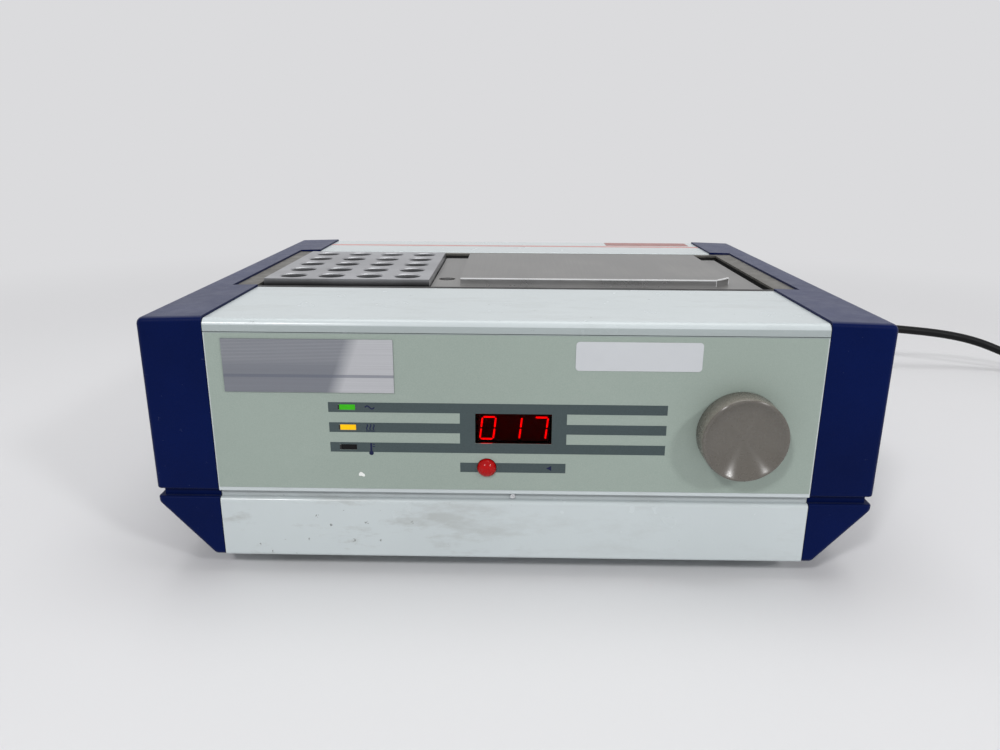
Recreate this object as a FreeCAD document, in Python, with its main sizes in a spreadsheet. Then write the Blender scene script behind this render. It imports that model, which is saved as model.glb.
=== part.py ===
import FreeCAD, Part
import math
import os
import types
import Sketcher

# Dry bath incubator: a bench block heater with two removable aluminium blocks.
# Millimetres. X is across the front, -Y is the front, +Z is up, z = 0 is the bench.

V = FreeCAD.Vector
doc = FreeCAD.newDocument("DryBathIncubator")


class Size:
    """A length that carries both its number and the expression that gives it."""

    def __init__(self, value, text):
        self.value = float(value)
        self.text = text

    def __add__(self, other):
        other = size(other)
        return Size(self.value + other.value, f"({self.text} + {other.text})")

    def __sub__(self, other):
        other = size(other)
        return Size(self.value - other.value, f"({self.text} - {other.text})")

    def __mul__(self, other):
        other = size(other)
        return Size(self.value * other.value, f"({self.text} * {other.text})")

    def __truediv__(self, other):
        other = size(other)
        return Size(self.value / other.value, f"({self.text} / {other.text})")

    def __neg__(self):
        return Size(-self.value, f"(0 - {self.text})")

    __radd__ = __add__

    def __rsub__(self, other):
        return size(other) - self

    def __rmul__(self, other):
        return size(other) * self

    def __float__(self):
        return self.value


def size(number):
    if isinstance(number, Size):
        return number
    return Size(number, f"({float(number):.6f})")


# Driving dimensions

SIZES = {
    # Case
    "case_width": 312.0,
    "case_depth": 262.0,
    "case_height": 118.0,
    "foot_height": 8.6,
    "sheet": 1.2,
    "fold_round": 1.6,
    # Clearances
    "seat_gap": 0.3,
    "shaft_gap": 0.05,
    "window_gap": 0.2,
    "thread_gap": 0.2,
    # How far the pieces of one fused solid run into each other
    "join": 0.5,
    # Moulded end caps
    "cap_width": 27.4,
    "cap_wall": 3.0,
    "cap_top_fall": 0.8,
    "cap_nose": 4.7,
    "cap_bevel_rise": 25.4,
    "cap_round": 3.0,
    "cap_edge_round": 2.4,
    "cap_lip_round": 0.9,
    "groove_low": 37.1,
    "groove_tall": 3.6,
    "groove_deep": 2.6,
    "rib_thick": 2.0,
    "rib_deep": 9.0,
    "rib_count": 5,
    "boss_radius": 4.5,
    "boss_inset": 24.5,
    "boss_low": 56.0,
    "boss_rise": 40.0,
    "screw_radius": 1.6,
    "screw_length": 12.0,
    "screw_head_radius": 3.2,
    "screw_head_tall": 2.0,
    # Covers and front
    "cover_drop": 1.0,
    "cover_lip": 5.2,
    "cover_round": 3.0,
    "cover_flange": 12.0,
    "rear_lip": 8.0,
    "rear_deck": 57.0,
    "fascia_low": 40.1,
    "fascia_leg": 12.0,
    "fascia_lip_round": 0.7,
    "tray_wall_top": 36.8,
    "vent_length": 34.0,
    "vent_inset": 30.0,
    "vent_pitch": 12.0,
    "vent_count": 7,
    "groove_screw_radius": 0.8,
    "groove_screw_length": 6.0,
    "groove_head_radius": 1.1,
    "groove_head_tall": 0.9,
    "flange_deep": 20.0,
    "return_deep": 8.0,
    "rear_recess": 14.0,
    "overlay_thick": 0.4,
    "overlay_border": 0.6,
    "overlay_rise": 2.2,
    # Well
    "notch_reach": 12.8,
    "ledge_thick": 3.0,
    "frame_reach": 12.6,
    "frame_thick": 1.2,
    "frame_sink": 0.4,
    "frame_lip": 2.4,
    "frame_bar": 5.2,
    "liner_gap": 0.8,
    "liner_floor": 42.0,
    "liner_round": 2.4,
    "insulation_thick": 8.0,
    "clamp_thick": 1.5,
    "clamp_margin": 4.0,
    "mat_thick": 1.8,
    "mat_margin": 6.0,
    "heater_thick": 13.5,
    "heater_margin": 2.0,
    # Blocks: three modules wide, the second block takes two of them
    "block_depth": 102.5,
    "block_tall": 50.8,
    "block_gap": 0.6,
    "block_left_gap": 1.4,
    "block_right_gap": 3.2,
    "block_front_gap": 12.8,
    "block_rear_gap": 15.2,
    "tube_radius": 6.8,
    "tube_deep": 45.0,
    "tube_tip": 5.44,
    "tube_rim": 0.6,
    "tube_pitch": 20.1,
    "tube_columns": 4,
    "tube_rows": 5,
    "pad_step": 3.8,
    "pad_left": 15.2,
    "pad_right": 14.5,
    "pad_front": 5.5,
    "pad_rear": 3.5,
    "pad_corner": 8.5,
    "thermometer_radius": 4.5,
    "thermometer_deep": 40.0,
    "thermometer_in": 6.6,
    "thermometer_back": 25.0,
    # Panel controls: inwards from the panel's ends, upwards from its lower fold, down from its top
    "bar_rise": 30.5,
    "led_pitch": 9.0,
    "led_in": 58.1,
    "led_width": 6.6,
    "led_tall": 2.3,
    "display_width": 32.3,
    "display_tall": 13.3,
    "display_thick": 2.4,
    "display_rim": 1.0,
    "window_sink": 0.1,
    "button_place": 11.3,
    "button_rise": 12.7,
    "button_radius": 4.0,
    "button_collar": 0.6,
    "button_dome": 2.6,
    "button_travel": 2.0,
    "button_gap": 0.3,
    "button_case": 10.0,
    "stem_radius": 1.6,
    "stem_in": 1.0,
    "knob_in": 33.3,
    "knob_rise": 30.3,
    "knob_radius": 17.9,
    "knob_skirt_radius": 18.1,
    "knob_stand": 11.5,
    "knob_edge": 0.5,
    "knob_rim": 0.4,
    "knob_dish": 1.9,
    "knob_web": 2.3,
    "knob_wall": 2.2,
    "knob_gap": 0.8,
    "hub_radius": 6.0,
    "hub_back": 3.4,
    "shaft_radius": 3.0,
    "shaft_cover": 2.0,
    "shaft_in": 8.0,
    "bush_radius": 4.7,
    "bush_stand": 2.9,
    "pot_radius": 12.0,
    "pot_back": 3.0,
    "pot_nut_radius": 7.0,
    "pot_nut_thick": 2.0,
    "plate_in": 7.3,
    "plate_width": 71.0,
    "plate_tall": 22.9,
    "plate_drop": 2.4,
    "plate_thick": 0.6,
    "label_in": 51.0,
    "label_width": 52.0,
    "label_tall": 12.3,
    "label_drop": 2.5,
    "label_thick": 0.25,
    "label_round": 1.5,
    "display_back": 10.0,
    "display_board_over": 14.0,
    "display_board_under": 8.0,
    "display_board_above": 22.0,
    "spacer_radius": 2.5,
    "spacer_inset": 5.0,
    # Heater parts
    "cutout_radius": 8.0,
    "cutout_tall": 12.0,
    "cutout_place": 60.0,
    "cutout_tab_width": 6.3,
    "cutout_tab_thick": 0.8,
    "cutout_tab_long": 7.0,
    "probe_radius": 2.0,
    "probe_place": 20.0,
    "probe_in": 40.0,
    "probe_tail": 14.0,
    "pillar_radius": 5.0,
    "pillar_in": 43.0,
    "pillar_inset": 16.0,
    # Control board
    "board_thick": 1.6,
    "board_stand": 8.0,
    "board_in": 32.3,
    "board_front_gap": 14.0,
    "board_length": 100.0,
    "board_depth": 48.0,
    "board_margin": 8.0,
    "stand_radius": 3.0,
    "stand_inset": 6.0,
    "part_gap": 6.0,
    "relay_length": 22.0,
    "relay_depth": 12.0,
    "relay_tall": 15.0,
    "strip_length": 50.0,
    "strip_depth": 10.0,
    "strip_tall": 12.0,
    "chip_length": 36.0,
    "chip_depth": 8.0,
    "chip_tall": 3.5,
    "capacitor_radius": 5.0,
    "capacitor_tall": 18.0,
    "capacitor_pitch": 12.0,
    "capacitor_count": 3,
    # Transformer
    "core_in": 52.3,
    "core_front_gap": 20.0,
    "core_width": 48.0,
    "core_depth": 30.0,
    "core_tall": 31.0,
    "core_leg": 8.0,
    # Heater driver on the rear wall
    "sink_in": 104.3,
    "sink_width": 40.0,
    "sink_low": 56.0,
    "sink_tall": 44.0,
    "sink_base": 3.0,
    "fin_thick": 2.0,
    "fin_deep": 15.0,
    "fin_pitch": 5.0,
    "fins_a_side": 3,
    "triac_rise": 14.0,
    "triac_width": 10.0,
    "triac_tall": 10.0,
    "triac_thick": 4.5,
    "triac_tab_tall": 6.0,
    "triac_tab_thick": 1.3,
    "triac_leg_pitch": 2.6,
    "triac_leg_width": 1.0,
    "triac_leg_thick": 0.6,
    "triac_leg_long": 10.0,
    # Rear
    "switch_in": 42.3,
    "switch_drop": 33.0,
    "switch_width": 21.0,
    "switch_tall": 30.0,
    "switch_deep": 22.0,
    "switch_bezel": 2.0,
    "switch_rim": 2.0,
    "switch_well": 9.0,
    "rocker_width": 13.0,
    "rocker_tall": 22.0,
    "rocker_gap": 0.6,
    "rocker_tilt": 8.0,
    "rocker_pivot": 2.0,
    "rocker_pin": 1.5,
    "rocker_crest": 4.0,
    "rocker_dip": 1.8,
    "rocker_keel": 5.0,
    "rocker_keel_half": 4.0,
    "fuse_in": 72.3,
    "fuse_radius": 6.2,
    "fuse_length": 34.0,
    "fuse_end": 8.0,
    "fuse_flange": 1.5,
    "fuse_link_radius": 2.5,
    "fuse_link_length": 20.0,
    "fuse_cap_radius": 7.5,
    "fuse_cap_taper": 0.8,
    "fuse_cap_length": 8.0,
    "coin_slot_width": 1.4,
    "coin_slot_deep": 1.5,
    "slot_width": 3.2,
    "slot_tall": 34.0,
    "slot_pitch": 8.0,
    "slot_count": 11,
    "slot_middle": 46.0,
    "slot_height": 76.0,
    # Feet
    "foot_radius": 9.0,
    "foot_taper": 1.2,
    "foot_inset_x": 48.0,
    "foot_inset_y": 26.0,
    "foot_bore": 2.2,
    "foot_recess_radius": 4.6,
    "foot_recess_deep": 5.0,
    "foot_head_radius": 3.6,
    "foot_head_tall": 2.4,
    "foot_nut_radius": 4.0,
    "foot_nut_tall": 3.0,
    "foot_thread_over": 2.0,
    # Mains cord
    "cord_place": 104.0,
    "cord_height": 48.0,
    "cord_radius": 3.4,
    "relief_length": 34.0,
    "relief_radius": 5.4,
    "relief_seat": 6.0,
    "relief_flange": 2.0,
    "relief_flange_thick": 3.0,
    "relief_tip": 0.9,
    "relief_tip_length": 3.0,
    "relief_groove": 0.7,
    "relief_rings": 4,
    "coil_radius": 38.5,
    "coil_across": 20.4,
    "coil_tall": 13.6,
    "coil_ease": 2.7,
    "tie_thick": 0.8,
    "tie_width": 6.0,
    "tie_gap": 0.1,
    # Plug
    "plug_width": 34.0,
    "plug_face": 24.0,
    "plug_thick": 18.0,
    "plug_length": 34.0,
    "plug_round": 2.0,
    "plug_ease": 1.2,
    "sleeve_radius": 5.2,
    "sleeve_length": 14.0,
    "pin_radius": 2.0,
    "pin_length": 19.0,
    "pin_spread": 9.5,
    "pin_offset": 5.0,
}

sheet_object = doc.addObject("Spreadsheet::Sheet", "Sizes")
for row, (alias, number) in enumerate(SIZES.items(), 1):
    sheet_object.set(f"A{row}", alias)
    sheet_object.set(f"B{row}", str(number))
    sheet_object.setAlias(f"B{row}", alias)
doc.recompute()
S = types.SimpleNamespace(**{alias: Size(number, f"Sizes.{alias}") for alias, number in SIZES.items()})

layout = doc.addObject("App::VarSet", "Layout")


def place(name, value):
    """Name a derived place, so that later expressions stay short."""
    layout.addProperty("App::PropertyFloat", name)
    layout.setExpression(name, value.text)
    return Size(value.value, f"Layout.{name}")


# Derived places

FRONT = place("front", (S.knob_stand - S.case_depth) / 2)
REAR = place("rear", FRONT + S.case_depth)
SIDE = place("side", S.case_width / 2)
INNER = place("inner", SIDE - S.cap_width)
EDGE = place("edge", INNER - S.seat_gap)
DECK = place("deck", S.case_height - S.cover_drop)
FLOOR = place("floor_top", S.foot_height + S.sheet)
BEVEL_HIGH = place("bevel_high", S.foot_height + S.cap_bevel_rise)
GROOVE_MIDDLE = place("groove_middle", (S.tray_wall_top + S.fascia_low) / 2)
FASCIA_TOP = place("fascia_top", DECK - S.cover_lip - S.seat_gap)
PANEL_REAR = place("panel_rear", REAR - S.rear_recess)

WELL_REAR = place("well_rear", REAR - S.rear_deck)
WELL_LENGTH = place("well_length", S.block_front_gap + S.block_depth + S.block_rear_gap)
WELL_FRONT = place("well_front", WELL_REAR - WELL_LENGTH)
LEDGE = place("ledge", DECK - S.frame_sink - S.frame_thick)
FRAME_IN = place("frame_in", INNER + S.frame_lip)
FRAME_FRONT = place("frame_front", WELL_FRONT + S.frame_bar)
FRAME_REAR = place("frame_rear", WELL_REAR - S.frame_bar)
LINER_OUT = place("liner_out", FRAME_IN + S.liner_gap + S.sheet)

INSULATION_LOW = place("insulation_low", S.liner_floor + S.sheet)
CLAMP_LOW = place("clamp_low", INSULATION_LOW + S.insulation_thick)
MAT_LOW = place("mat_low", CLAMP_LOW + S.clamp_thick)
HEATER_LOW = place("heater_low", MAT_LOW + S.mat_thick)
BLOCK_LOW = place("block_low", HEATER_LOW + S.heater_thick)
BLOCK_TOP = place("block_top", BLOCK_LOW + S.block_tall)
PROBE_HEIGHT = place("probe_height", BLOCK_LOW - S.heater_thick / 2)
BLOCK_WIDTH = place("block_width", (FRAME_IN * 2 - S.block_left_gap - S.block_gap - S.block_right_gap) / 3)
BLOCK_LEFT = place("block_left", S.block_left_gap - FRAME_IN)
BLOCK_FRONT = place("block_front", WELL_FRONT + S.block_front_gap)
BLOCK_REAR = place("block_rear", BLOCK_FRONT + S.block_depth)
PLATE_LEFT = place("plate_block_left", BLOCK_LEFT + BLOCK_WIDTH + S.block_gap)
PLATE_RIGHT = place("plate_block_right", PLATE_LEFT + BLOCK_WIDTH * 2)

FACE = place("face", FRONT - S.overlay_thick)
BOARD_Y = place("board_y", FRONT + S.display_back)
BAR_MIDDLE = place("bar_middle", S.fascia_low + S.bar_rise)
LED_X = place("led_x", S.led_in - EDGE)
BUTTON_Z = place("button_z", S.fascia_low + S.button_rise)
KNOB_X = place("knob_x", EDGE - S.knob_in)
KNOB_Z = place("knob_z", S.fascia_low + S.knob_rise)
SWITCH_X = place("switch_x", EDGE - S.switch_in)
SWITCH_Z = place("switch_z", DECK - S.switch_drop)
FUSE_X = place("fuse_x", EDGE - S.fuse_in)
doc.recompute()


# Binding and primitives

def bind(thing, **values):
    """Set properties by expression: Placement_Base_x stands for Placement.Base.x."""
    for name, value in values.items():
        thing.setExpression(name.replace("_", "."), size(value).text)


def box(name, x, y, z):
    """A box between three pairs of places."""
    made = doc.addObject("Part::Box", name)
    bind(made, Length=size(x[1]) - x[0], Width=size(y[1]) - y[0], Height=size(z[1]) - z[0])
    bind(made, Placement_Base_x=x[0], Placement_Base_y=y[0], Placement_Base_z=z[0])
    return made


TURN = {
    "X": FreeCAD.Rotation(V(0, 1, 0), 90),
    "Y": FreeCAD.Rotation(V(1, 0, 0), -90),
    "Z": FreeCAD.Rotation(),
}


def cylinder(name, axis, radius, length, at):
    """A cylinder whose base circle is centred on the point at, running along +axis."""
    made = doc.addObject("Part::Cylinder", name)
    made.Placement = FreeCAD.Placement(V(), TURN[axis])
    bind(made, Radius=radius, Height=length)
    bind(made, Placement_Base_x=at[0], Placement_Base_y=at[1], Placement_Base_z=at[2])
    return made


def cone(name, axis, radius_low, radius_high, length, at):
    made = doc.addObject("Part::Cone", name)
    made.Placement = FreeCAD.Placement(V(), TURN[axis])
    bind(made, Radius1=radius_low, Radius2=radius_high, Height=length)
    bind(made, Placement_Base_x=at[0], Placement_Base_y=at[1], Placement_Base_z=at[2])
    return made


def fuse(name, *things):
    made = doc.addObject("Part::MultiFuse", name)
    made.Shapes = list(things)
    return made


def cut(name, base, *tools):
    made = doc.addObject("Part::Cut", name)
    made.Base = base
    made.Tool = tools[0] if len(tools) == 1 else fuse(name + "_tools", *tools)
    return made


def group(name, *things):
    """Separate solids that share one node."""
    made = doc.addObject("Part::Compound", name)
    made.Links = list(things)
    return made


# Sketched bodies

def body(name):
    return doc.addObject("PartDesign::Body", name)


def sketch(owner, name, role, height=0.0):
    """A sketch on one of the body's origin planes, moved along the plane's normal by height."""
    made = owner.newObject("Sketcher::SketchObject", name)
    plane = [item for item in owner.Origin.OriginFeatures if item.Role == role][0]
    made.AttachmentSupport = [(plane, "")]
    made.MapMode = "FlatFace"
    made.setExpression("AttachmentOffset.Base.z", size(height).text)
    return made


def hold_point(owner, geometry, position, x, y):
    """Fix a sketch point at the place x, y."""
    for kind, value in (("DistanceX", size(x)), ("DistanceY", size(y))):
        index = owner.addConstraint(Sketcher.Constraint(kind, -1, 1, geometry, position, value.value))
        owner.setExpression(f"Constraints[{index}]", value.text)


def arc_between(start, end, radius):
    """The shorter anticlockwise arc from start to end."""
    along = end - start
    half = along.Length / 2
    across = V(-along.y, along.x, 0).normalize()
    centre = start + along / 2 + across * math.sqrt(radius ** 2 - half ** 2)
    turns = [math.atan2(point.y - centre.y, point.x - centre.x) for point in (start, end)]
    if turns[1] < turns[0]:
        turns[1] += 2 * math.pi
    return Part.ArcOfCircle(Part.Circle(centre, V(0, 0, 1), radius), *turns)


def polygon(owner, points, bulging=None, hollow=None):
    """A closed anticlockwise outline through the points, each one held by its own two distances.

    bulging and hollow give the radius of sides that are arcs, by the number of their first point.
    """
    bulging = bulging or {}
    hollow = hollow or {}
    places = [(size(x), size(y)) for x, y in points]
    count = len(places)
    first = owner.GeometryCount
    starts = []
    ends = []
    for i in range(count):
        start, end = (V(float(x), float(y), 0) for x, y in (places[i], places[(i + 1) % count]))
        if i in bulging:
            owner.addGeometry(arc_between(start, end, float(bulging[i])))
        elif i in hollow:
            owner.addGeometry(arc_between(end, start, float(hollow[i])))
        else:
            owner.addGeometry(Part.LineSegment(start, end))
        starts.append(2 if i in hollow else 1)
        ends.append(1 if i in hollow else 2)
    for i in range(count):
        after = (i + 1) % count
        owner.addConstraint(Sketcher.Constraint("Coincident", first + i, ends[i], first + after, starts[after]))
        hold_point(owner, first + i, starts[i], *places[i])
    for i, radius in [*bulging.items(), *hollow.items()]:
        hold_radius(owner, first + i, radius)


def hold_radius(owner, geometry, radius):
    held = owner.addConstraint(Sketcher.Constraint("Radius", geometry, float(radius)))
    owner.setExpression(f"Constraints[{held}]", size(radius).text)


def rectangle(owner, x, y):
    polygon(owner, [(x[0], y[0]), (x[1], y[0]), (x[1], y[1]), (x[0], y[1])])


def circle(owner, x, y, radius):
    index = owner.addGeometry(Part.Circle(V(float(x), float(y), 0), V(0, 0, 1), float(radius)))
    hold_point(owner, index, 3, x, y)
    hold_radius(owner, index, radius)


def hexagon(owner, x, y, radius):
    """A six-sided outline whose corners lie on a circle of the given radius."""
    turns = [math.radians(60 * i) for i in range(6)]
    polygon(owner, [(x + radius * round(math.cos(turn), 6), y + radius * round(math.sin(turn), 6))
                    for turn in turns])


def pad(owner, profile, length, backwards=False):
    made = owner.newObject("PartDesign::Pad", profile.Name + "_pad")
    made.Profile = profile
    made.Reversed = backwards
    made.setExpression("Length", size(length).text)
    profile.Visibility = False
    doc.recompute()
    return made


def pocket(owner, profile, length, backwards=False):
    """Cut, and make sure that something was really cut."""
    before = owner.Shape.Volume
    made = owner.newObject("PartDesign::Pocket", profile.Name + "_pocket")
    made.Profile = profile
    made.Reversed = backwards
    made.setExpression("Length", size(length).text)
    doc.recompute()
    if not owner.Shape.Volume < before - 1e-6:
        raise RuntimeError(profile.Name + " cuts nothing")
    return made


def edges_where(feature, test):
    """Names of the feature's edges whose middle point and direction pass the test."""
    names = []
    for number, edge in enumerate(feature.Shape.Edges, 1):
        middle = edge.valueAt((edge.FirstParameter + edge.LastParameter) / 2)
        if test(edge, middle):
            names.append(f"Edge{number}")
    return names


def round_edges(owner, feature, radius, test):
    names = edges_where(feature, test)
    if not names:
        raise RuntimeError(feature.Name + " has no such edge")
    made = owner.newObject("PartDesign::Fillet", feature.Name + "_round")
    made.Base = (feature, names)
    made.setExpression("Radius", size(radius).text)
    doc.recompute()
    return made


def near(a, b, tolerance=0.01):
    return abs(float(a) - float(b)) < tolerance


def spans(edge, axis):
    """True where the edge is straight along the axis."""
    if edge.Curve.TypeId != "Part::GeomLine":
        return False
    direction = edge.Curve.Direction
    return abs(abs(getattr(direction, axis)) - 1) < 1e-6


def at_line(axis, u, v, places):
    """Test for a straight edge along axis whose other two coordinates match one of the places."""
    def test(edge, middle):
        if not spans(edge, axis):
            return False
        return any(near(getattr(middle, u), a) and near(getattr(middle, v), b) for a, b in places)
    return test


# End caps: hollow mouldings, open towards the chassis

def end_cap():
    cap = body("right_end_cap")
    outline = sketch(cap, "cap_outline", "XZ_Plane", -FRONT)
    polygon(outline, [
        (INNER, S.case_height),
        (INNER, S.foot_height),
        (INNER + S.cap_nose, S.foot_height),
        (SIDE, BEVEL_HIGH),
        (SIDE, S.case_height - S.cap_top_fall),
    ])
    block = pad(cap, outline, S.case_depth, backwards=True)
    long_edges = round_edges(cap, block, S.cap_round, at_line("y", "x", "z", [
        (INNER + S.cap_nose, S.foot_height),
        (SIDE, BEVEL_HIGH),
        (SIDE, S.case_height - S.cap_top_fall),
    ]))

    def on_an_end(edge, middle):
        at_inner_face = near(middle.x, INNER) and spans(edge, "z")
        return (near(middle.y, FRONT) or near(middle.y, REAR)) and not at_inner_face
    round_edges(cap, long_edges, S.cap_edge_round, on_an_end)

    groove = sketch(cap, "cap_groove", "XY_Plane", S.groove_low)
    beyond = S.cap_wall
    polygon(groove, [
        (INNER - beyond, FRONT - beyond),
        (SIDE + beyond, FRONT - beyond),
        (SIDE + beyond, REAR + beyond),
        (INNER - beyond, REAR + beyond),
        (INNER - beyond, REAR - S.groove_deep),
        (SIDE - S.groove_deep, REAR - S.groove_deep),
        (SIDE - S.groove_deep, FRONT + S.groove_deep),
        (INNER - beyond, FRONT + S.groove_deep),
    ])
    grooved = pocket(cap, groove, S.groove_tall, backwards=True)

    groove_high = S.groove_low + S.groove_tall

    def on_a_lip(edge, middle):
        at_lip = near(middle.z, S.groove_low) or near(middle.z, groove_high)
        outside = middle.x > float(SIDE - 1) or middle.y < float(FRONT + 1) or middle.y > float(REAR - 1)
        return at_lip and outside and not spans(edge, "z")
    round_edges(cap, grooved, S.cap_lip_round, on_a_lip)

    # Three hollows follow the groove, so that the wall behind it keeps its thickness
    wall = S.cap_wall
    run = (S.cap_width - S.cap_nose) / S.cap_bevel_rise
    slant = Size(math.hypot(1, run.value), f"sqrt(1 + {run.text}^2)") * wall
    band_low = S.groove_low - wall
    band_high = groove_high + wall

    def bevel_inside(height):
        return INNER + S.cap_nose + run * (height - S.foot_height) - slant
    hollows = {
        "upper": ([
            (INNER - wall, band_high),
            (SIDE - wall, band_high),
            (SIDE - wall, S.case_height - S.cap_top_fall - wall),
            (INNER - wall, S.case_height - wall),
        ], wall),
        "middle": ([
            (INNER - wall, band_low),
            (SIDE - wall - S.groove_deep, band_low),
            (SIDE - wall - S.groove_deep, band_high),
            (INNER - wall, band_high),
        ], wall + S.groove_deep),
        "lower": ([
            (INNER - wall, S.foot_height + wall),
            (bevel_inside(S.foot_height + wall), S.foot_height + wall),
            (bevel_inside(band_low), band_low),
            (INNER - wall, band_low),
        ], wall),
    }
    for name, (points, inset) in hollows.items():
        hollow = sketch(cap, f"cap_hollow_{name}", "XZ_Plane", -(FRONT + inset))
        polygon(hollow, points)
        pocket(cap, hollow, S.case_depth - inset * 2)

    # Ribs stiffen the outer wall
    rib = sketch(cap, "cap_rib", "XZ_Plane", -(WELL_FRONT + S.rib_deep))
    rectangle(rib, (SIDE - wall - S.rib_deep, SIDE - wall / 2), (band_high - wall / 2,
              S.case_height - S.cap_top_fall - wall / 2))
    first_rib = pad(cap, rib, S.rib_thick, backwards=True)
    ribs = cap.newObject("PartDesign::LinearPattern", "cap_ribs")
    ribs.Originals = [first_rib]
    ribs.Direction = (rib, ["N_Axis"])
    ribs.Reversed = True
    bind(ribs, Length=WELL_LENGTH - S.rib_deep * 2 - S.rib_thick, Occurrences=S.rib_count)
    cap.Tip = ribs
    doc.recompute()

    # Screw bosses reach back to the open face
    bosses = sketch(cap, "cap_bosses", "YZ_Plane", INNER)
    for y, z in boss_places():
        circle(bosses, y, z, S.boss_radius)
    pad(cap, bosses, S.cap_width - wall / 2)
    pilots = sketch(cap, "cap_pilots", "YZ_Plane", INNER)
    for y, z in boss_places():
        circle(pilots, y, z, S.screw_radius + S.shaft_gap)
    pocket(cap, pilots, S.screw_length, backwards=True)

    # A ledge carries the well frame in a notch of the top wall
    notch_out = INNER + S.notch_reach
    ledge = sketch(cap, "cap_ledge", "XZ_Plane", -(WELL_FRONT - wall))
    rectangle(ledge, (LINER_OUT + S.seat_gap, notch_out + wall), (LEDGE - S.ledge_thick,
              S.case_height - wall / 2))
    pad(cap, ledge, WELL_LENGTH + wall * 2, backwards=True)
    notch = sketch(cap, "cap_notch", "XY_Plane", LEDGE)
    rectangle(notch, (INNER - wall, notch_out), (WELL_FRONT, WELL_REAR))
    pocket(cap, notch, S.cap_wall * 2, backwards=True)
    throat = sketch(cap, "cap_throat", "XY_Plane", LEDGE - S.ledge_thick)
    rectangle(throat, (INNER - wall, LINER_OUT + S.seat_gap), (WELL_FRONT, WELL_REAR))
    pocket(cap, throat, S.cap_wall * 2, backwards=True)
    return cap


def boss_places():
    lows = (S.boss_low, S.boss_low + S.boss_rise)
    return [(y, z) for y in (FRONT + S.boss_inset, PANEL_REAR - S.boss_inset) for z in lows]


right_end_cap = end_cap()
left_end_cap = doc.addObject("Part::Mirroring", "left_end_cap")
left_end_cap.Source = right_end_cap
left_end_cap.Normal = V(1, 0, 0)


# Folded sheet-metal shell

def fold(name, section, half_width, rounds):
    """A sheet profile in the YZ plane, run across the width, with rounded bends."""
    made = body(name)
    profile = sketch(made, name + "_section", "YZ_Plane", -half_width)
    polygon(profile, section)
    last = pad(made, profile, half_width * 2)
    for radius, corners in rounds:
        last = round_edges(made, last, radius, at_line("x", "y", "z", corners))
    return made


def through_front(owner, name, shapes, depth, inwards):
    """Cut shapes through a wall that stands at the place depth and faces -Y or +Y."""
    drawn = sketch(owner, name, "XZ_Plane", -depth)
    for shape in shapes:
        if len(shape) == 3:
            circle(drawn, *shape)
        else:
            rectangle(drawn, shape[:2], shape[2:])
    return pocket(owner, drawn, S.sheet * 2, backwards=not inwards)


def centred(middle, width):
    return (size(middle) - size(width) / 2, size(middle) + size(width) / 2)


def spread(pitch, count):
    """Places of a centred row."""
    return [pitch * (i - (count.value - 1) / 2) for i in range(int(count.value))]


T = S.sheet
BEND_IN = S.fold_round - S.sheet


def base_tray():
    top = S.tray_wall_top
    low = S.foot_height
    lip = S.groove_deep - S.seat_gap
    tray = fold("base_tray", [
        (FRONT, low), (REAR, low), (REAR, top), (REAR - lip, top), (REAR - lip, top - T),
        (REAR - T, top - T), (REAR - T, FLOOR), (FRONT + T, FLOOR), (FRONT + T, top - T),
        (FRONT + lip, top - T), (FRONT + lip, top), (FRONT, top),
    ], EDGE, [(S.fold_round, [(FRONT, low), (REAR, low), (FRONT, top), (REAR, top)])])
    holes = sketch(tray, "tray_foot_holes", "XY_Plane", S.foot_height)
    for x, y in foot_places():
        circle(holes, x, y, S.foot_bore)
    pocket(tray, holes, S.sheet * 2, backwards=True)
    vents = sketch(tray, "tray_vents", "XY_Plane", S.foot_height)
    far = S.vent_inset + S.vent_length
    for offset in spread(S.vent_pitch, S.vent_count):
        x = centred(offset, S.slot_width)
        rectangle(vents, x, (FRONT + S.vent_inset, FRONT + far))
        rectangle(vents, x, (REAR - far, REAR - S.vent_inset))
    pocket(tray, vents, S.sheet * 2, backwards=True)


def foot_places():
    reach = SIDE - S.foot_inset_x
    return [(x, y) for x in (-reach, reach) for y in (FRONT + S.foot_inset_y, REAR - S.foot_inset_y)]


def led_heights():
    return [BAR_MIDDLE + S.led_pitch * i for i in (1, 0, -1)]


def panel_windows(gap, bush_hole):
    """The holes for the display, the lamps, the button and the knob's bush."""
    cuts = [(*centred(0, S.display_width + gap * 2), *centred(BAR_MIDDLE, S.display_tall + gap * 2))]
    for z in led_heights():
        cuts.append((*centred(LED_X, S.led_width + gap * 2), *centred(z, S.led_tall + gap * 2)))
    cuts.append((-S.button_place, BUTTON_Z, S.button_radius + S.button_gap))
    cuts.append((KNOB_X, KNOB_Z, bush_hole))
    return cuts


def side_flanges(owner, name, y, z):
    """Flanges that overlap the side plates from inside."""
    flanges = sketch(owner, name, "XY_Plane", z[0])
    plate_inside = INNER - S.sheet
    rectangle(flanges, (plate_inside - T, plate_inside), y)
    rectangle(flanges, (T - plate_inside, -plate_inside), y)
    return pad(owner, flanges, z[1] - z[0])


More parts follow.
